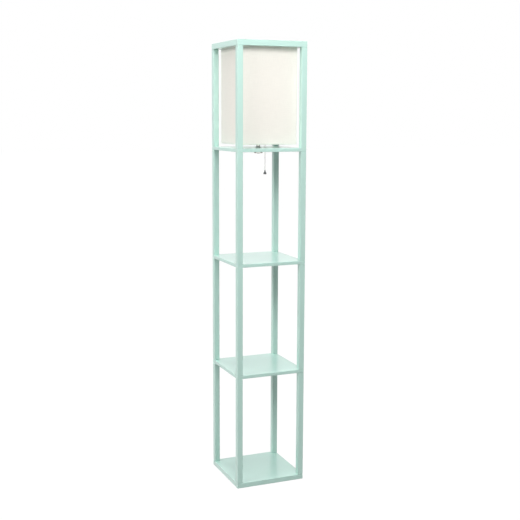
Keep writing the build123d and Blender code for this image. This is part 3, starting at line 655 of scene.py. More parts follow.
class LAMP_OT_posts(bpy.types.Operator):
    """Sixteen square posts with rounded arrises and bored ends"""

    bl_idname = "lamp.posts"
    bl_label = "Posts"

    def execute(self, context):
        sizes = context.scene.lamp_sizes
        for level in sorted(LEVELS):
            low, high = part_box(level + "_post_front_left")
            half = (high - low) / 2
            bar = rolled_block((-half.x, -half.y, low.z), (half.x, half.y, high.z), sizes.arris,
                               sizes.post_end, neck=sizes.neck)
            bore, depth = sizes.stud_bore, sizes.stud_depth
            if level == "lower":
                bore, depth = sizes.insert_bore, sizes.insert_depth
            bored = carve(
                skin("post", bar),
                rod(sizes.insert_bore, high.z - sizes.insert_depth, high.z + CLEAR),
                rod(bore, low.z - CLEAR, low.z + depth),
            )
            for corner in CORNERS:
                node = level + "_post_" + corner
                mesh = bored.copy()
                mesh.transform(Matrix.Translation((*middle(node)[:2], 0)))
                place("post_" + node, mesh, node, "mint_painted_wood", "z")
        return {"FINISHED"}


class LAMP_OT_rails(bpy.types.Operator):
    """Top frame of four rails, lapped at the corners and counterbored for the bolts"""

    bl_idname = "lamp.rails"
    bl_label = "Top frame"

    def execute(self, context):
        sizes = context.scene.lamp_sizes
        for side in ("front", "rear", "left", "right"):
            node = "frame_rail_" + side
            low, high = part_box(node)
            width = min(high.x - low.x, high.y - low.y)
            along = 0 if high.x - low.x > high.y - low.y else 1
            # the front and rear rails lose their lower half at each end, and the side rails the upper
            laps = []
            for end in (-1, 1):
                lap_low, lap_high = low - Vector([CLEAR] * 3), high + Vector([CLEAR] * 3)
                if end > 0:
                    lap_low[along] = high[along] - width
                else:
                    lap_high[along] = low[along] + width
                if along == 0:
                    lap_low.z = middle(node)[2]
                else:
                    lap_high.z = middle(node)[2]
                laps.append(rolled_block(lap_low, lap_high, 0, 0))
            hole = stepped_hole(sizes, high.z, low.z)
            holes = [moved(hole, x, y) for x, y in post_places() if low.x < x < high.x and low.y < y < high.y]
            bar = carve(skin(node, rolled_block(low, high, sizes.edge_roll, sizes.edge_roll)), *laps)
            place("rail_" + side, carve(bar, *holes), node, "mint_painted_wood", "xy"[along])
        return {"FINISHED"}


# ---- Fasteners ----
def socket_bolt(sizes, face, tip):
    """Hexagon-socket bolt sunk in its recess: rings from the socket's floor out over the head with its
    rounded rim, then the threaded shank."""
    inward = int(math.copysign(1, tip - face))
    around, head = 36, 5.0 * MM
    socket = hexagon(2.0 * MM, around)
    seat = face + inward * sizes.counterbore_depth
    top = seat - inward * 4 * MM
    floor = top + inward * 2.2 * MM
    rings = [(0, floor), (socket, floor), (socket, top + inward * 0.2 * MM), (socket + 0.2 * MM, top),
             (head - 0.6 * MM, top), (head - 0.15 * MM, top + inward * 0.2 * MM),
             (head, top + inward * 0.6 * MM), (head, seat)]
    shank = threaded(sizes.stud, 0.4 * MM, 1 * MM, *sorted((seat, tip)), around=around, rows=5)
    return grid(np.concatenate([ringed(rings, around), shank[::inward]]), False, True)


def disc(radius, bottom, top, ease):
    """Disc with eased rims."""
    outline = [(0, bottom), (radius, bottom), (radius, top), (0, top)]
    return turned(eased(outline, ease, closed=False), around=36)


class LAMP_OT_fasteners(bpy.types.Operator):
    """Studs, inserts, bolts, bolt covers and foot pads"""

    bl_idname = "lamp.fasteners"
    bl_label = "Fasteners"

    def execute(self, context):
        sizes = context.scene.lamp_sizes
        base_low, base_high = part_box("base_board")
        frame_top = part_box("frame_rail_front")[1].z
        post_tops = [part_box(level + "_post_front_left")[1].z for level in LEVELS]

        studs = []
        for node in SHELVES:
            low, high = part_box(node)
            thread = threaded(sizes.stud, 0.4 * MM, 1 * MM, low.z - sizes.bite, high.z + 22 * MM,
                              around=14, rows=5)
            studs.append(grid(thread, False, True))
        inserts, around = [], 18
        for bottom in (base_high.z, *(top - sizes.insert_length for top in post_tops)):
            end = bottom + sizes.insert_length
            outside = threaded(4.75 * MM, 0.55 * MM, 2.6 * MM, bottom, end, around=around, rows=8, runout=0.4)
            inside = ringed([(sizes.stud_bore, end), (sizes.stud_bore, bottom)], around)
            inserts.append(grid(np.concatenate([outside, inside]), True, True))
        cover_top = frame_top - 0.2 * MM
        cover = disc(sizes.counterbore - sizes.fit, cover_top - 1.4 * MM, cover_top, 0.5 * MM)
        for name, shapes, finish in (
            ("post_studs", studs, "zinc_steel"),
            ("post_inserts", inserts, "zinc_steel"),
            ("base_bolts", [socket_bolt(sizes, base_low.z, base_high.z + sizes.bite)], "zinc_steel"),
            ("frame_bolts", [socket_bolt(sizes, frame_top, post_tops[-1] - sizes.bite)], "zinc_steel"),
            ("bolt_plugs", [cover], "mint_plastic"),
        ):
            everywhere = [moved(shape, x, y) for x, y in post_places() for shape in shapes]
            place("fitted_" + name, skin(name, *everywhere), name, finish)

        low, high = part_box("foot_pads")
        radius = 9 * MM
        pad = disc(radius, low.z, high.z, 0.6 * MM)
        pads = [moved(pad, x, y) for x in (low.x + radius, high.x - radius)
                for y in (low.y + radius, high.y - radius)]
        place("fitted_foot_pads", skin("foot_pads", *pads), "foot_pads", "grey_rubber")
        return {"FINISHED"}


# ---- Shade ----
class LAMP_OT_shade_frame(bpy.types.Operator):
    """Styrene liner, top wire, and lower wire with its arms and fitter ring"""

    bl_idname = "lamp.shade_frame"
    bl_label = "Shade liner and wires"

    def execute(self, context):
        sizes = context.scene.lamp_sizes
        low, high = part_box("shade_liner")
        section = [(0, low.z), (0, high.z), (sizes.liner, high.z), (sizes.liner, low.z)]
        liner = along_square(section, (high.x - low.x) / 2, sizes.shade_corner)
        place("shade_lining", skin("liner", grid(liner, True, True)), "shade_liner", "white_styrene")

        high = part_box("shade_top_wire")[1]
        hoop = wire_square(sizes, high.x, high.z - sizes.wire)
        place("shade_top_hoop", skin("hoop", hoop), "shade_top_wire", "white_wire")

        low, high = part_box("shade_carrier")
        inner, outer, thickness, ease = 19.6 * MM, 25.1 * MM, 1.4 * MM, 0.35 * MM
        ring = [(inner, high.z - thickness), (outer, high.z - thickness), (outer, high.z), (inner, high.z)]
        shapes = [wire_square(sizes, high.x, low.z + sizes.wire), turned(eased(ring, ease), True, 64)]
        # each arm runs from inside a corner to the ring's middle, in a slight S
        t = np.linspace(0, 1, 24)
        corner = (high.x - sizes.wire) * math.sqrt(2) - 1.6 * MM
        landing = outer - 1.5 * MM
        start, end = low.z + sizes.wire, high.z - thickness / 2
        rise = np.clip((t - 0.04) / 0.92, 0, 1)
        height = start + (end - start) * (rise + 0.018 * np.sin(TURN * rise))
        radius = corner + (landing - corner) * t
        flattened = np.where(t > 0.97, sizes.wire * 0.7, sizes.wire)
        for turn in (angles(4) + TURN / 8).tolist():
            path = np.stack([radius * math.cos(turn), radius * math.sin(turn), height], -1)
            shapes.append(along_path(path, flattened))
        place("shade_hanger", skin("hanger", *shapes), "shade_carrier", "white_wire")
        return {"FINISHED"}


def wire_square(sizes, half, level):
    """Square of round wire with bent corners, at a level."""
    angle = angles(12)
    section = np.stack([sizes.wire * (1 - np.cos(angle)), level + sizes.wire * np.sin(angle)], -1)
    return grid(along_square(section, half, 3.4 * MM, 8), True, True)


class LAMP_OT_shade_cloth(bpy.types.Operator):
    """Linen wrapped round the liner and turned in over the wires, with a lapped seam at the back"""

    bl_idname = "lamp.shade_cloth"
    bl_label = "Shade cloth"

    def execute(self, context):
        sizes = context.scene.lamp_sizes
        low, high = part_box("shade_fabric")
        half = (high.x - low.x) / 2
        half_cloth = sizes.cloth / 2
        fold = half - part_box("shade_top_wire")[1].x + 2 * sizes.wire + half_cloth + 0.1 * MM
        # from the hem inside the top, over the top wire, down the face, and in again below
        roll, arc = 1.4 * MM, np.linspace(TURN / 2, 0, 9)
        reach = (fold - half_cloth) / 2
        over = np.stack([half_cloth + reach - reach * np.cos(arc),
                         high.z - half_cloth - roll + roll * np.sin(arc)], -1)
        face = np.linspace(high.z - half_cloth - roll, low.z + half_cloth + roll, 41)[1:-1]
        section = np.concatenate([
            [[fold, high.z - sizes.hem], [fold, high.z - sizes.hem / 2]], over,
            np.stack([half_cloth + 0 * face, face], -1),
            over[::-1] * [1, -1] + [0, low.z + high.z],
            [[fold, low.z + sizes.hem / 2], [fold, low.z + sizes.hem]],
        ])
        points = along_square(section, half, sizes.shade_corner, 6, 48)
        # lengths round the shade and down the section, in metres, for the weave
        ring = points[len(points) // 2]
        round_way = np.append(0, np.cumsum(np.linalg.norm(np.roll(ring, -1, 0) - ring, axis=1)))
        down_way = np.append(0, np.cumsum(np.linalg.norm(np.diff(points[:, 0], axis=0), axis=1)))
        mesh = cloth_mesh(with_seam(points, half), round_way, down_way, low, high, half - fold, sizes)
        piece = place("shade_cloth", mesh, "shade_fabric", "cream_linen", even=False)
        thick = piece.modifiers.new("thickness", "SOLIDIFY")
        thick.thickness, thick.offset = sizes.cloth, 0
        return {"FINISHED"}


def with_seam(points, half):
    """The cloth with its lapped seam: a strip of the back face near a corner stands proud, by
    proud clip((x - start) / ramp) clip((end - x) / ramp + 1)."""
    start, end, ramp, proud = half - 18 * MM, half - 7 * MM, 0.6 * MM, 0.35 * MM
    x, y = points[..., 0], points[..., 1]
    share = np.clip((x - start) / ramp, 0, 1) * np.clip((end - x) / ramp + 1, 0, 1)
    points = points.copy()
    points[..., 1] += np.where(y > half - 2 * MM, proud * share, 0)
    return points


def cloth_mesh(points, round_way, down_way, low, high, hem_face, sizes):
    """Mesh of the cloth with its own UV map in metres, and the lower hem notched at the arms."""
    rows, columns = points.shape[:2]
    row, column = np.arange(rows - 1)[:, None], np.arange(columns)[None, :]
    following = (column + 1) % columns
    quads = np.stack([row * columns + column, (row + 1) * columns + column,
                      (row + 1) * columns + following, row * columns + following], -1)
    onward = np.roll(points, -1, 1)
    centre = (points[:-1] + points[1:] + onward[:-1] + onward[1:]) / 4
    x, y = np.abs(centre[..., 0]), np.abs(centre[..., 1])
    near_arm = np.abs(x - y) / math.sqrt(2) < sizes.wire + 0.5 * MM
    in_lower_hem = (np.maximum(x, y) < hem_face + 0.2 * MM) & (centre[..., 2] < (low.z + high.z) / 2)
    keep = ~(near_arm & in_lower_hem)
    here, there = round_way[:-1] + 0 * row, round_way[1:] + 0 * row
    above, below = down_way[:-1, None] + 0 * column, down_way[1:, None] + 0 * column
    flat = np.stack([here, -above, here, -below, there, -below, there, -above], -1)[keep]
    mesh = bpy.data.meshes.new("cloth")
    mesh.from_pydata(points.reshape(-1, 3).tolist(), [], quads[keep].tolist())
    mesh.uv_layers.new(name="cloth").data.foreach_set("uv", flat.astype(np.float32).ravel())
    return smooth(mesh, math.radians(60))


# ---- Cap, nipple and lampholder ----
class LAMP_OT_canopy(bpy.types.Operator):
    """Polished cap under the lamp shelf, its bush, the threaded nipple, washer and lock nut"""

    bl_idname = "lamp.canopy"
    bl_label = "Cap and nipple"

    def execute(self, context):
        sizes = context.scene.lamp_sizes
        nipple_low, nipple_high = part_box("nipple")
        low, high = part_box("canopy_cap")
        radius, wall, shoulder = high.x, 0.8 * MM, 2.4 * MM
        bore, hub, hub_top = nipple_high.x + sizes.fit, 8 * MM, low.z + 6 * MM
        outline = [
            (bore, low.z), (radius - 2 * MM, low.z), (radius, low.z + shoulder), (radius, high.z),
            (radius - wall, high.z), (radius - wall, low.z + shoulder), (radius - 2.6 * MM, low.z + wall),
            (hub, low.z + wall), (hub, hub_top), (bore, hub_top),
        ]
        ease = np.array([0.2, 2.2, 2.2, 0.25, 0.25, 1.6, 1.6, 0.6, 0.3, 0.3]) * MM
        cap = turned(eased(outline, ease, steps=7), True, 72)
        place("cap_under_shelf", skin("cap", cap), "canopy_cap", "polished_nickel")

        low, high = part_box("cord_bushing")
        sleeve, inner, flange = 3.55 * MM, 2.7 * MM, low.z + 1 * MM
        outline = [(inner, low.z), (high.x, low.z), (high.x, flange), (sleeve, flange), (sleeve, high.z),
                   (inner, high.z)]
        bush = turned(eased(outline, np.array([0.5, 0.5, 0.2, 0.1, 0.3, 0.3]) * MM), True)
        place("bush", skin("bush", bush), "cord_bushing", "black_phenolic")

        ends = (nipple_low.z, nipple_high.z)
        thread = threaded(nipple_high.x, 0.4 * MM, 1 * MM, *ends)
        inside = threaded(3.6 * MM, 0, 1 * MM, *ends, rows=1)[::-1]
        tube = grid(np.concatenate([thread, inside]), True, True)
        place("threaded_nipple", skin("nipple", tube), "nipple", "brass")

        low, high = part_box("shelf_washer")
        bore = 5.3 * MM
        outline = [(bore, low.z), (high.x, low.z), (high.x, high.z), (bore, high.z)]
        place("washer", skin("washer", turned(eased(outline, 0.25 * MM), True)), "shelf_washer", "zinc_steel")

        low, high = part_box("shelf_locknut")
        around, chamfer = 72, 0.4 * MM
        flat = min(high.x, high.y)
        sides = hexagon(flat, around, high.x > high.y)
        crown, bore = np.minimum(sides, flat * 1.06), nipple_high.x + sizes.fit
        rings = [(bore, low.z), (crown, low.z), (sides, low.z + chamfer), (sides, high.z - chamfer),
                 (crown, high.z), (bore, high.z)]
        place("lock_nut", skin("nut", grid(ringed(rings, around), True, True)), "shelf_locknut", "zinc_steel")
        return {"FINISHED"}


class LAMP_OT_lampholder(bpy.types.Operator):
    """Cap, shell, insulating sleeve and ring nut of the lampholder"""

    bl_idname = "lamp.lampholder"
    bl_label = "Lampholder"

    def execute(self, context):
        sizes = context.scene.lamp_sizes
        sheet, fit, around = sizes.sheet, sizes.fit, 64
        nipple_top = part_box("nipple")[1]
        low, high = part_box("socket_cap")
        rim, hub, bore = high.x, 7 * MM, nipple_top.x + fit
        floor, mouth, bead = nipple_top.z, high.z - 4.5 * MM, 0.4 * MM
        # spun bowl on its hub, with a small bead rolled out round the mouth
        lip = [(rim, mouth), (rim, high.z - 1.7 * MM), (rim + bead, high.z - 1.4 * MM), (rim + bead, high.z),
               (rim - sheet, high.z)]
        outline = np.concatenate([
            [(bore, low.z), (hub, low.z)], bowl(hub, rim, floor - sheet, mouth),
            eased(lip, 0.35 * MM, closed=False)[1:],
            bowl(hub - sheet, rim - sheet, floor, mouth)[::-1], [(bore, floor)],
        ])
        cap = turned(outline, True, around)
        place("holder_cap", skin("holder cap", cap), "socket_cap", "polished_nickel")

        pivot, _, level = middle("lever_pin")
        body = rim - sheet - fit
        half_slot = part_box("switch_lever")[1].y + 0.6 * MM
        half_rise = (body - pivot) * math.tan(sizes.half_swing) + 1.2 * MM
        slot = window(half_slot, level, half_rise, pivot, body + 3 * MM, 1 * MM)
        low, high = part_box("socket_shell")
        zone, seat = high.x - 2.3 * MM, low.z + 28 * MM
        shoulder = [(body - sheet, low.z), (body, low.z), (body, seat), (high.x, seat),
                    (high.x, seat + 2 * sheet), (zone, seat + 2 * sheet)]
        shoulder = eased(shoulder, np.array([0, 0.1, 0.7, 0.5, 0.5, 0]) * MM, closed=False, steps=6)
        thread = threaded(zone, 0.4 * MM, 2.2 * MM, seat + 3 * sheet, high.z - sheet, around, 8)
        lining = [(zone, high.z), (zone - 1.2 * sheet, high.z), (zone - 1.2 * sheet, seat + sheet),
                  (body - sheet, seat + sheet)]
        shell = np.concatenate([ringed(shoulder, around), thread, ringed(lining, around)])
        shell = carve(skin("shell", grid(shell, True, True)), slot)
        place("holder_shell", shell, "socket_shell", "polished_nickel")

        low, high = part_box("socket_liner")
        inner = high.y - 0.4 * MM
        sleeve = turned([(inner, low.z), (high.y, low.z), (high.y, high.z), (inner, high.z)], True, around)
        place("insulating_sleeve", carve(skin("sleeve", sleeve), slot), "socket_liner", "brown_fibre")

        # ribbed rim: r = R - depth (0.5 + 0.5 cos(ribs a))^2
        low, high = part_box("shade_ring_nut")
        around, ribs, depth, edge = 192, 16, 0.8 * MM, 0.7 * MM
        grip = high.x - depth * (0.5 + 0.5 * np.cos(ribs * angles(around))) ** 2
        inner = zone + fit
        rings = [(inner, low.z), (grip - edge, low.z), (grip, low.z + edge), (grip, high.z - edge),
                 (grip - 0.3 * edge, high.z - 0.3 * edge), (grip - edge, high.z), (inner + edge, high.z),
                 (inner, high.z - edge)]
        nut = grid(ringed(rings, around), True, True)
        place("ring_nut", skin("ring nut", nut), "shade_ring_nut", "black_phenolic")
        return {"FINISHED"}


class LAMP_OT_switch_body(bpy.types.Operator):
    """Moulded body of the switch, its screw shell, centre contact and terminal screws"""

    bl_idname = "lamp.switch_body"
    bl_label = "Switch body"

    def execute(self, context):
        sizes = context.scene.lamp_sizes
        sheet, room = sizes.sheet, sizes.room
        screws_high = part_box("terminal_screws")[1]
        terminal, head, face = middle("terminal_screws")[2], screws_high.x, screws_high.y
        pocket_floor = face - 1.8 * MM
        screw_end = pocket_floor - 4 * MM
        wheel_low, wheel_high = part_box("ratchet_wheel")

        low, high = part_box("switch_body")
        radius, past = -low.x, 1 * MM
        form = [(0, low.z), (radius, low.z), (radius, high.z), (0, high.z)]
        form = turned(eased(form, np.array([0, 0.6, 0.6, 0]) * MM, closed=False), around=64)
        half_cavity, half_pocket = wheel_high.y + 1.7 * MM, head + room
        base, ceiling = low.z + 1.5 * MM, wheel_high.z + room
        cavities = [window(half_cavity, (base + ceiling) / 2, (ceiling - base) / 2, wheel_low.x - room,
                           radius + past, 0.5 * MM)]
        bores, wire_holes = [], []
        for pin in ("lever_pin", "wheel_axle"):
            pin_low, pin_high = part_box(pin)
            x, _, level = middle(pin)
            bore = (pin_high.x - pin_low.x) / 2 + sizes.fit
            bores.append(across(rod(bore, pin_low.y, pin_high.y, around=24), x, level))
        for side in (-1, 1):
            near, far = sorted((side * pocket_floor, side * (radius + past)))
            cavities.append(rolled_block((-half_pocket, near, terminal - half_pocket),
                                         (half_pocket, far, high.z + past), 0.5 * MM, 0.3 * MM))
            screw_hole = rod(1.55 * MM, side * screw_end, side * (pocket_floor + room), around=24)
            bores.append(across(screw_hole, 0, terminal))
            wire_holes.append(rod(1.8 * MM, low.z - past, terminal, 0, side * (radius + half_cavity) / 2, 24))
        body = skin("switch body", form)
        for group in (cavities, bores, wire_holes):
            body = carve(body, *group)
        place("moulded_switch_body", body, "switch_body", "black_phenolic")

        # rolled screw thread that clears the bulb's crests
        low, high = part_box("screw_shell")
        crest, opening = high.x - 0.1 * MM, 7 * MM
        thread = (0.6 * MM, sizes.bulb_pitch, low.z + 2 * MM, high.z - 0.8 * MM, 48, 10)
        outside = [(opening, low.z), (crest - sheet, low.z), (crest + sheet, low.z + 1 * MM)]
        lip = [(crest + sheet, high.z), (crest, high.z)]
        inside = [(crest, low.z + 1.2 * MM), (crest - 1.4 * sheet, low.z + sheet), (opening, low.z + sheet)]
        rings = np.concatenate([
            ringed(outside, 48), threaded(crest + sheet, *thread), ringed(lip, 48),
            threaded(crest, *thread)[::-1], ringed(inside, 48),
        ])
        place("rolled_screw_shell", skin("screw shell", grid(rings, True, True)), "screw_shell", "brass",
              even=False)

        # leaf folded back over its own foot
        low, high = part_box("centre_contact")
        half = sheet / 2
        path = [(high.x, low.z + half), (low.x + half, low.z + half), (low.x + half, low.z + 2.2 * half),
                (low.x + 3.1 * MM, high.z - half), (high.x, high.z - half)]
        leaf = bent_leaf(eased(path, 0.7 * MM, closed=False, steps=7), sheet, high.y - low.y)
        place("contact_leaf", skin("leaf", leaf), "centre_contact", "brass")

        shank, half_slot, slot_depth = 1.5 * MM, 0.4 * MM, 0.8 * MM
        outline = [(0, face), (head - 0.9 * MM, face - 0.05 * MM), (head, face - 0.7 * MM),
                   (head, pocket_floor), (shank, pocket_floor), (shank, screw_end), (0, screw_end)]
        screw = across(turned(eased(outline, 0.3 * MM, closed=False), around=32), 0, terminal)
        other = grid(screw[0] * [1, -1, 1], *screw[1:])
        slots = [
            rolled_block((-head - room, y, terminal - half_slot),
                         (head + room, y + 2 * slot_depth, terminal + half_slot), 0.01 * MM, 0.01 * MM)
            for y in (face - slot_depth, -face - slot_depth)
        ]
        place("slotted_screws", carve(skin("screws", screw, other), *slots), "terminal_screws", "brass")
        return {"FINISHED"}


# ---- Pull switch ----
def joined(first, second):
    """Two meshes in one, each still closed by itself."""
    shape = bmesh.new()
    shape.from_mesh(first)
    shape.from_mesh(second)
    shape.to_mesh(first)
    shape.free()
    return smooth(first)


class LAMP_OT_pull_switch(bpy.types.Operator):
    """Lever with its pawl, ratchet wheel, their pins and the leaf spring under the lever"""

    bl_idname = "lamp.pull_switch"
    bl_label = "Pull switch"

    def execute(self, context):
        sizes = context.scene.lamp_sizes
        swing = sizes.half_swing
        for name, node in (("pin_of_lever", "lever_pin"), ("axle_of_wheel", "wheel_axle")):
            low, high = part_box(node)
            radius = (high.x - low.x) / 2
            pin = [(0, low.y), (radius, low.y), (radius, high.y), (0, high.y)]
            pin = turned(eased(pin, np.array([0, 0.25, 0.25, 0]) * MM, closed=False, steps=3), around=24)
            x, _, level = middle(node)
            place(name, skin(node, across(pin, x, level)), node, "zinc_steel")

        # the lever is made level with its pivot at the origin, and then tipped to its resting angle
        pin_low, pin_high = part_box("lever_pin")
        pivot, _, level = middle("lever_pin")
        bore = (pin_high.x - pin_low.x) / 2 + sizes.fit
        wheel_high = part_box("ratchet_wheel")[1]
        length = (middle("pull_chain_bead")[0] - pivot) / math.cos(swing)
        half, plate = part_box("switch_lever")[1].y, 0.6 * MM
        tail, pawl, tail_half, shoulder = 6 * MM, 0.5 * MM, wheel_high.y, bore + 0.5 * MM
        arm = rolled_block((shoulder, -half, -plate), (length + 0.9 * MM, half, plate), 1.2 * MM, 0.2 * MM)
        back = rolled_block((-tail, -tail_half, -pawl), (-shoulder, tail_half, pawl), 0.1 * MM, 0.1 * MM)
        eye = rod(1.1 * MM, -2 * plate, 2 * plate, length - 2.22 * MM, around=24)
        boss = 2.2 * MM
        knuckle = [(bore, -half), (boss, -half), (boss, half), (bore, half)]
        knuckle = across(turned(eased(knuckle, 0.15 * MM, steps=3), True))
        tip = [(0, -tail_half), (pawl, -tail_half), (pawl, tail_half), (0, tail_half)]
        tip = eased(tip, np.array([0, 0.1, 0.1, 0]) * MM, closed=False, steps=3)
        rounds = skin("rounds", knuckle, across(turned(tip, around=16), -tail))
        lever = joined(carve(skin("lever", arm, back), eye), rounds)
        lever.transform(Matrix.Translation((pivot, 0, level)) @ Matrix.Rotation(-swing, 4, "Y"))
        place("rocking_lever", lever, "switch_lever", "zinc_steel", body="lever")

        # saw teeth: each radial face stands a little ahead of where the pawl meets the wheel
        ahead, count, crown, root = math.radians(12.5), 8, 3.6 * MM, 2.2 * MM
        wheel = middle("wheel_axle")[0]
        drop, reach = tail * math.sin(swing), pivot - wheel - tail * math.cos(swing)
        face = ahead - math.atan2(drop, reach) - angles(count)
        teeth = np.array([crown, root]) * np.ones((count, 1))
        points = np.stack([teeth * np.cos(face)[:, None], teeth * np.sin(face)[:, None]], -1).reshape(-1, 2)
        rim = eased(points, 0.12 * MM, steps=3)
        hole = bore * rim / np.linalg.norm(rim, axis=1, keepdims=True)
        half, edge, drawn_in = wheel_high.y, 0.1 * MM, 0.97
        levels = [(hole, -half), (rim * drawn_in, -half), (rim, edge - half), (rim, half - edge),
                  (rim * drawn_in, half), (hole, half)]
        rings = [np.stack([wheel + p[:, 0], y + 0 * p[:, 0], level + p[:, 1]], -1) for p, y in levels]
        place("toothed_wheel", skin("wheel", grid(np.stack(rings), True, True)), "ratchet_wheel", "brass",
              body="wheel")

        # blade bent back on itself under the lever
        low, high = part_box("return_spring")
        leaf = 0.4 * MM
        rise = (high.x - low.x - leaf) * math.tan(swing)
        heel, under = low.x + leaf, high.z - rise
        path = [(high.x, low.z + leaf / 2), (heel, low.z + leaf / 2), (heel - leaf / 2, (low.z + under) / 2),
                (heel, under - leaf / 2), (high.x, high.z - leaf / 2)]
        blade = bent_leaf(eased(path, 1.4 * MM, closed=False, steps=9), leaf, high.y - low.y)
        place("leaf_spring", skin("blade", blade), "return_spring", "zinc_steel")
        return {"FINISHED"}


# ---- Pull chain ----
def bead_ball(x, height, radius):
    """Ball bead of 16 by 10 faces: r = R sin a, z = height - R cos a."""
    angle = np.linspace(0, TURN / 2, 11)
    outline = np.stack([radius * np.sin(angle), height - radius * np.cos(angle)], -1)
    return moved(turned(outline, around=16), x)


def chain_run(sizes, x, swing, way, count):
    """Beads one after another from the swing bead, upwards or downwards, each with the wire that follows
    or leads it. The wire next to the swing bead stops short of it."""
    reach, neck, gap = sizes.bead * 0.9, sizes.bead_pitch - 2 * sizes.bead, 0.15 * MM
    shapes = []
    for index in range(1, count + 1):
        height = swing + way * index * sizes.bead_pitch
        short = gap if index == 1 else 0
        ends = sorted((height - way * (sizes.bead + neck - short), height - way * reach))
        shapes += [bead_ball(x, height, sizes.bead), rod(sizes.link, *ends, x, around=10)]
    return shapes


class LAMP_OT_pull_chain(bpy.types.Operator):
    """Bead chain with its hook, and the grommet that guides it"""

    bl_idname = "lamp.pull_chain"
    bl_label = "Pull chain"

    def execute(self, context):
        sizes = context.scene.lamp_sizes
        x, _, swing = middle("pull_chain_bead")
        neck = sizes.bead_pitch - 2 * sizes.bead
        # hook: a torus, (R + r cos b) turned by a, in the plane of the lever's travel
        ring, wire = 2.3 * MM, 0.4 * MM
        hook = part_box("pull_chain_upper")[1].z - ring - wire
        a, b = angles(32)[:, None], angles(10)[None, :]
        reach = ring + wire * np.cos(b)
        torus = np.stack([x + reach * np.cos(a), wire * np.sin(b) + 0 * a, hook + reach * np.sin(a)], -1)
        count = int(round((hook - ring - wire - neck - sizes.bead - swing) / sizes.bead_pitch))
        last = swing + sizes.bead + count * sizes.bead_pitch
        upper = [
            rod(sizes.link, last, hook - ring - wire / 2, x, around=10),
            *chain_run(sizes, x, swing, 1, count), grid(torus, True, True),
        ]
        place("chain_above", skin("chain", *upper), "pull_chain_upper", "polished_nickel",
              body="chain_upper", even=False)
        place("chain_swing_bead", skin("bead", bead_ball(x, swing, sizes.bead)), "pull_chain_bead",
              "polished_nickel", body="chain_bead", even=False)
        knob_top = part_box("pull_knob")[1].z
        count = int(round((swing - sizes.bead - neck - knob_top) / sizes.bead_pitch))
        lower = [
            rod(sizes.link, knob_top - 3 * MM, knob_top + neck * 1.1, x, around=10),
            *chain_run(sizes, x, swing, -1, count),
        ]
        place("chain_below", skin("chain", *lower), "pull_chain_lower", "polished_nickel",
              body="chain_lower", even=False)

        low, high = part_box("chain_grommet")
        sleeve, bore, rim = sizes.grommet_hole - sizes.fit, 2.8 * MM, (high.x - low.x) / 2
        flange = high.z - 0.8 * MM
        outline = [(bore, low.z), (sleeve, low.z), (sleeve, flange), (rim, flange), (rim, high.z),
                   (bore, high.z)]
        grommet = turned(eased(outline, np.array([0.4, 0.3, 0.05, 0.3, 0.5, 0.7]) * MM), True)
        grommet = moved(grommet, middle("chain_grommet")[0])
        place("grommet", skin("grommet", grommet), "chain_grommet", "polished_nickel")
        return {"FINISHED"}


class LAMP_OT_pull_knob(bpy.types.Operator):
    """Bell-shaped knob at the end of the chain"""

    bl_idname = "lamp.pull_knob"
    bl_label = "Pull knob"

    def execute(self, context):
        low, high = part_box("pull_knob")
        radius, neck, collar = (high.x - low.x) / 2, 1.9 * MM, 0.25 * MM
        bore, bore_depth, chamfer = 0.55 * MM, 3 * MM, 0.15 * MM
        # neck with a small collar, then a flare as half a cosine wave, then a straight rim
        share = np.linspace(0, 1, 15)
        flare_top, rim_top = high.z - 2.5 * MM, low.z + 2.4 * MM
        flare = np.stack([neck + (radius - neck) * (1 - np.cos(math.pi * share)) / 2,
                          flare_top + (rim_top - flare_top) * share], -1)
        rim = eased([(radius, rim_top), (radius, low.z), (0, low.z)], 0.8 * MM, closed=False)
        outline = np.concatenate([
            [(0, high.z - bore_depth), (bore, high.z - bore_depth), (bore, high.z - chamfer),
             (bore + chamfer, high.z), (neck - collar, high.z), (neck, high.z - collar)],
            flare, rim[1:],
        ])
        bell = moved(turned(outline), middle("pull_knob")[0])
        place("bell_knob", skin("knob", bell), "pull_knob", "dark_metal", body="chain_lower")
        return {"FINISHED"}


# ---- Bulb ----
def globe(low, high, inset):
    """Outline of the bulb's glass, drawn in by an inset: an upright neck, a straight shoulder, and from
    where that touches the globe, its arc up to the pole."""
    radius, neck = high.x - inset, 12.4 * MM - inset
    centre, neck_top = high.z - high.x, low.z + 9 * MM
    drop = centre - neck_top
    tangent = math.atan2(drop, neck) - math.acos(radius / math.hypot(neck, drop))
    angle = np.linspace(-tangent, TURN / 4, 28)
    arc = np.stack([radius * np.cos(angle), centre + radius * np.sin(angle)], -1)
    return np.concatenate([[(neck, low.z), (neck, neck_top - 1 * MM)], arc])


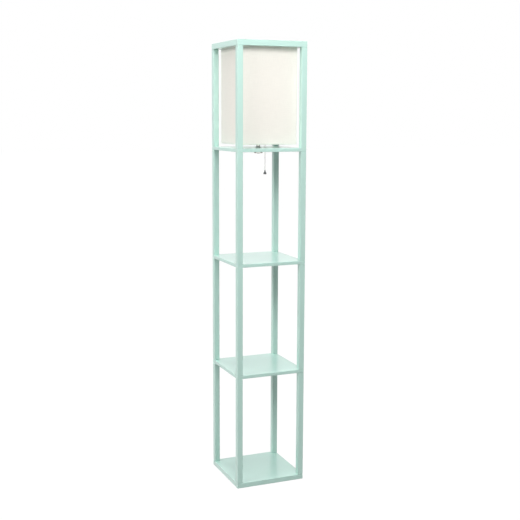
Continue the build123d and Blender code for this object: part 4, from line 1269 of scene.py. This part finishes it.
class LAMP_OT_bulb(bpy.types.Operator):
    """Opal bulb with its screw base and end contact"""

    bl_idname = "lamp.bulb"
    bl_label = "Bulb"

    def execute(self, context):
        sizes = context.scene.lamp_sizes
        low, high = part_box("bulb_glass")
        glass = np.concatenate([globe(low, high, 0), globe(low, high, 1 * MM)[::-1]])
        place("bulb_envelope", skin("glass", turned(glass, True, 64)), "bulb_glass", "opal_glass",
              body="bulb", even=False)

        low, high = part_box("bulb_base")
        wall, opening = 0.5 * MM, 10.4 * MM
        thread = (0.7 * MM, sizes.bulb_pitch, low.z + 2.2 * MM, high.z - 5.4 * MM, 48, 10)
        outside = [(opening, low.z), (high.x - 1.5 * MM, low.z), (high.x - 0.3 * MM, low.z + 1.5 * MM)]
        lip = [(high.x, high.z), (high.x - wall, high.z)]
        inside = [(high.x - wall - 0.4 * MM, low.z + 1.7 * MM), (opening, low.z + wall)]
        rings = np.concatenate([
            ringed(outside, 48), threaded(high.x, *thread), ringed(lip, 48),
            threaded(high.x - wall, *thread)[::-1], ringed(inside, 48),
        ])
        place("bulb_screw_base", skin("base", grid(rings, True, True)), "bulb_base", "plain_aluminium",
              body="bulb", even=False)

        low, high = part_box("bulb_contact")
        button, foot, rim = 3.6 * MM, 5 * MM, 10 * MM
        outline = [(0, low.z), (button, low.z), (foot, low.z + 0.8 * MM), (rim, high.z - 0.5 * MM),
                   (rim, high.z), (0, high.z)]
        outline = eased(outline, np.array([0, 0.5, 0.5, 0.3, 0.1, 0]) * MM, closed=False)
        place("bulb_end", skin("foot", turned(outline)), "bulb_contact", "black_phenolic", body="bulb_foot")
        return {"FINISHED"}


# ---- Studio ----
def stage_sheet(name, points, material):
    """A sheet of the stage, which isn't part of the lamp."""
    sheet = bpy.data.objects.new(name, skin(name, grid(points), fill=False))
    bpy.context.scene.collection.objects.link(sheet)
    sheet.data.materials.append(material)
    return sheet


def seen_share(tree):
    """1 for what the camera, a reflection or a refraction sees, and 0 for what only lights."""
    path = add_node(tree, "ShaderNodeLightPath").outputs
    seen = path["Is Camera Ray"]
    for kind in ("Is Glossy Ray", "Is Transmission Ray"):
        seen = add_node(tree, "ShaderNodeMath", {0: seen, 1: path[kind]}, operation="MAXIMUM").outputs[0]
    return seen


def studio_floor():
    """Pale matt floor that is seen as near white, with the lamp's soft shadow left on it."""
    material = bpy.data.materials.new("pale studio floor")
    material.use_nodes = True
    tree = material.node_tree
    tree.nodes.clear()
    matt = add_node(tree, "ShaderNodeBsdfDiffuse", {"Color": chosen("floor")})
    glow = add_node(tree, "ShaderNodeEmission", {"Color": (1, 1, 1, 1), "Strength": 1.055})
    share = add_node(tree, "ShaderNodeMath", {0: seen_share(tree), 1: 0.95}, operation="MULTIPLY")
    surface = add_node(
        tree, "ShaderNodeMixShader", {0: share.outputs[0], 1: matt.outputs[0], 2: glow.outputs[0]}
    )
    add_node(tree, "ShaderNodeOutputMaterial", {"Surface": surface.outputs[0]})
    return material


def white_world():
    """White surroundings for what is seen directly or in a reflection, and softer light from all round."""
    world = bpy.data.worlds.new("white surroundings")
    world.use_nodes = True
    tree = world.node_tree
    tree.nodes.clear()
    light = add_node(tree, "ShaderNodeBackground", {"Color": (1, 1, 1, 1), "Strength": 0.15})
    white = add_node(tree, "ShaderNodeBackground", {"Color": (1, 1, 1, 1), "Strength": 1.0})
    surface = add_node(
        tree, "ShaderNodeMixShader", {0: seen_share(tree), 1: light.outputs[0], 2: white.outputs[0]}
    )
    add_node(tree, "ShaderNodeOutputWorld", {"Surface": surface.outputs[0]})
    return world


class LAMP_OT_studio(bpy.types.Operator):
    """Pale floor, soft lamps, white surroundings, and the camera"""

    bl_idname = "lamp.studio"
    bl_label = "Studio"

    def execute(self, context):
        scene = context.scene
        scene.view_settings.view_transform = "Standard"
        side, depth = np.linspace(-30, 30, 3), 0.2 * MM
        x, y = np.meshgrid(side, side, indexing="ij")
        floor = stage_sheet("floor", np.stack([x, y, 0 * x - depth], -1), studio_floor())
        if floor.data.polygons[0].normal.z < 0:
            floor.data.flip_normals()
        scene.world = white_world()
        # name, place, the height on the lamp's axis that it looks at, width and watts
        for name, place_at, aim, width, power in (
            ("front", (-0.9, -3.4, 3.6), 1.0, 1.8, 50),
            ("near", (-0.2, -1.15, 2.1), 1.4, 0.9, 9.6),
            ("left", (-3.2, -0.8, 2.6), 1.0, 1.8, 64),
            ("above", (-0.3, -1.15, 6.0), 0.8, 2.4, 84),
            ("overhead", (0.0, 0.2, 6.0), 0.8, 2.4, 70),
            ("behind", (-1.2, 2.6, 3.2), 1.0, 1.8, 36),
        ):
            lamp = bpy.data.lights.new(name, "AREA")
            lamp.shape, lamp.size, lamp.energy = "DISK", width, power
            holder = bpy.data.objects.new(name, lamp)
            holder.location = place_at
            towards = Vector((0, 0, aim)) - Vector(place_at)
            holder.rotation_euler = towards.to_track_quat("-Z", "Y").to_euler()
            scene.collection.objects.link(holder)
        # curved dark cards beside the lamp, which draw edges in polished metal and do nothing else
        away, half_width = 2.2, 0.55
        for name, bearing in (("panel_left", 2.75), ("panel_right", -0.39)):
            turn = np.linspace(bearing - half_width, bearing + half_width, 9)[:, None]
            height = np.linspace(0.2, 1.6, 3)[None, :]
            bent = np.stack([away * np.cos(turn) + 0 * height, away * np.sin(turn) + 0 * height,
                             height + 0 * turn], -1)
            card = stage_sheet(name, bent, dark_card())
            for kind in ("camera", "diffuse", "shadow", "transmission", "volume_scatter"):
                setattr(card, "visible_" + kind, False)
        scene.camera = photo_camera()
        scene.collection.objects.link(scene.camera)
        return {"FINISHED"}


def photo_camera():
    """Camera at the photograph's viewing angle, from its fitted place, yaw, pitch and roll."""
    spot, yaw, pitch, roll = (-1.29753, -3.1443, 1.34466), -0.39369, -0.15452, 0.00371
    forward = Vector((-math.sin(yaw) * math.cos(pitch), math.cos(yaw) * math.cos(pitch), math.sin(pitch)))
    level = Vector((math.cos(yaw), math.sin(yaw), 0))
    upright = level.cross(forward)
    right = math.cos(roll) * level + math.sin(roll) * upright
    up = math.cos(roll) * upright - math.sin(roll) * level
    view = bpy.data.cameras.new("view")
    view.sensor_width, view.lens = 36.0, 64.96
    view.clip_start, view.clip_end = 0.05, 200
    camera = bpy.data.objects.new("view", view)
    camera.matrix_world = Matrix.Translation(spot) @ Matrix((right, up, -forward)).transposed().to_4x4()
    return camera


# ---- Panel and registration ----
OPERATORS = (
    LAMP_OT_boards, LAMP_OT_posts, LAMP_OT_rails, LAMP_OT_fasteners, LAMP_OT_shade_frame,
    LAMP_OT_shade_cloth, LAMP_OT_canopy, LAMP_OT_lampholder, LAMP_OT_switch_body,
    LAMP_OT_pull_switch, LAMP_OT_pull_chain, LAMP_OT_pull_knob, LAMP_OT_bulb, LAMP_OT_studio,
)


class LAMP_PT_panel(bpy.types.Panel):
    """Sidebar panel with the lamp's sizes, colours and pieces"""

    bl_idname = "LAMP_PT_panel"
    bl_label = "Shelf Floor Lamp"
    bl_space_type = "VIEW_3D"
    bl_region_type = "UI"
    bl_category = "Floor Lamp"

    def draw(self, context):
        for group in (context.scene.lamp_sizes, context.scene.lamp_colours):
            box = self.layout.box()
            for key in group.bl_rna.properties.keys():
                if key not in ("rna_type", "name"):
                    box.prop(group, key)
        for operator in OPERATORS:
            self.layout.operator(operator.bl_idname)


CLASSES = (LampSizes, LampColours, *OPERATORS, LAMP_PT_panel)


def register():
    for item in CLASSES:
        bpy.utils.register_class(item)
    bpy.types.Scene.lamp_sizes = bpy.props.PointerProperty(type=LampSizes)
    bpy.types.Scene.lamp_colours = bpy.props.PointerProperty(type=LampColours)


def unregister():
    del bpy.types.Scene.lamp_sizes
    del bpy.types.Scene.lamp_colours
    for item in reversed(CLASSES):
        bpy.utils.unregister_class(item)


def main():
    register()
    for operator in OPERATORS:
        group, name = operator.bl_idname.split(".")
        getattr(getattr(bpy.ops, group), name)()


if __name__ == "__main__":
    main()
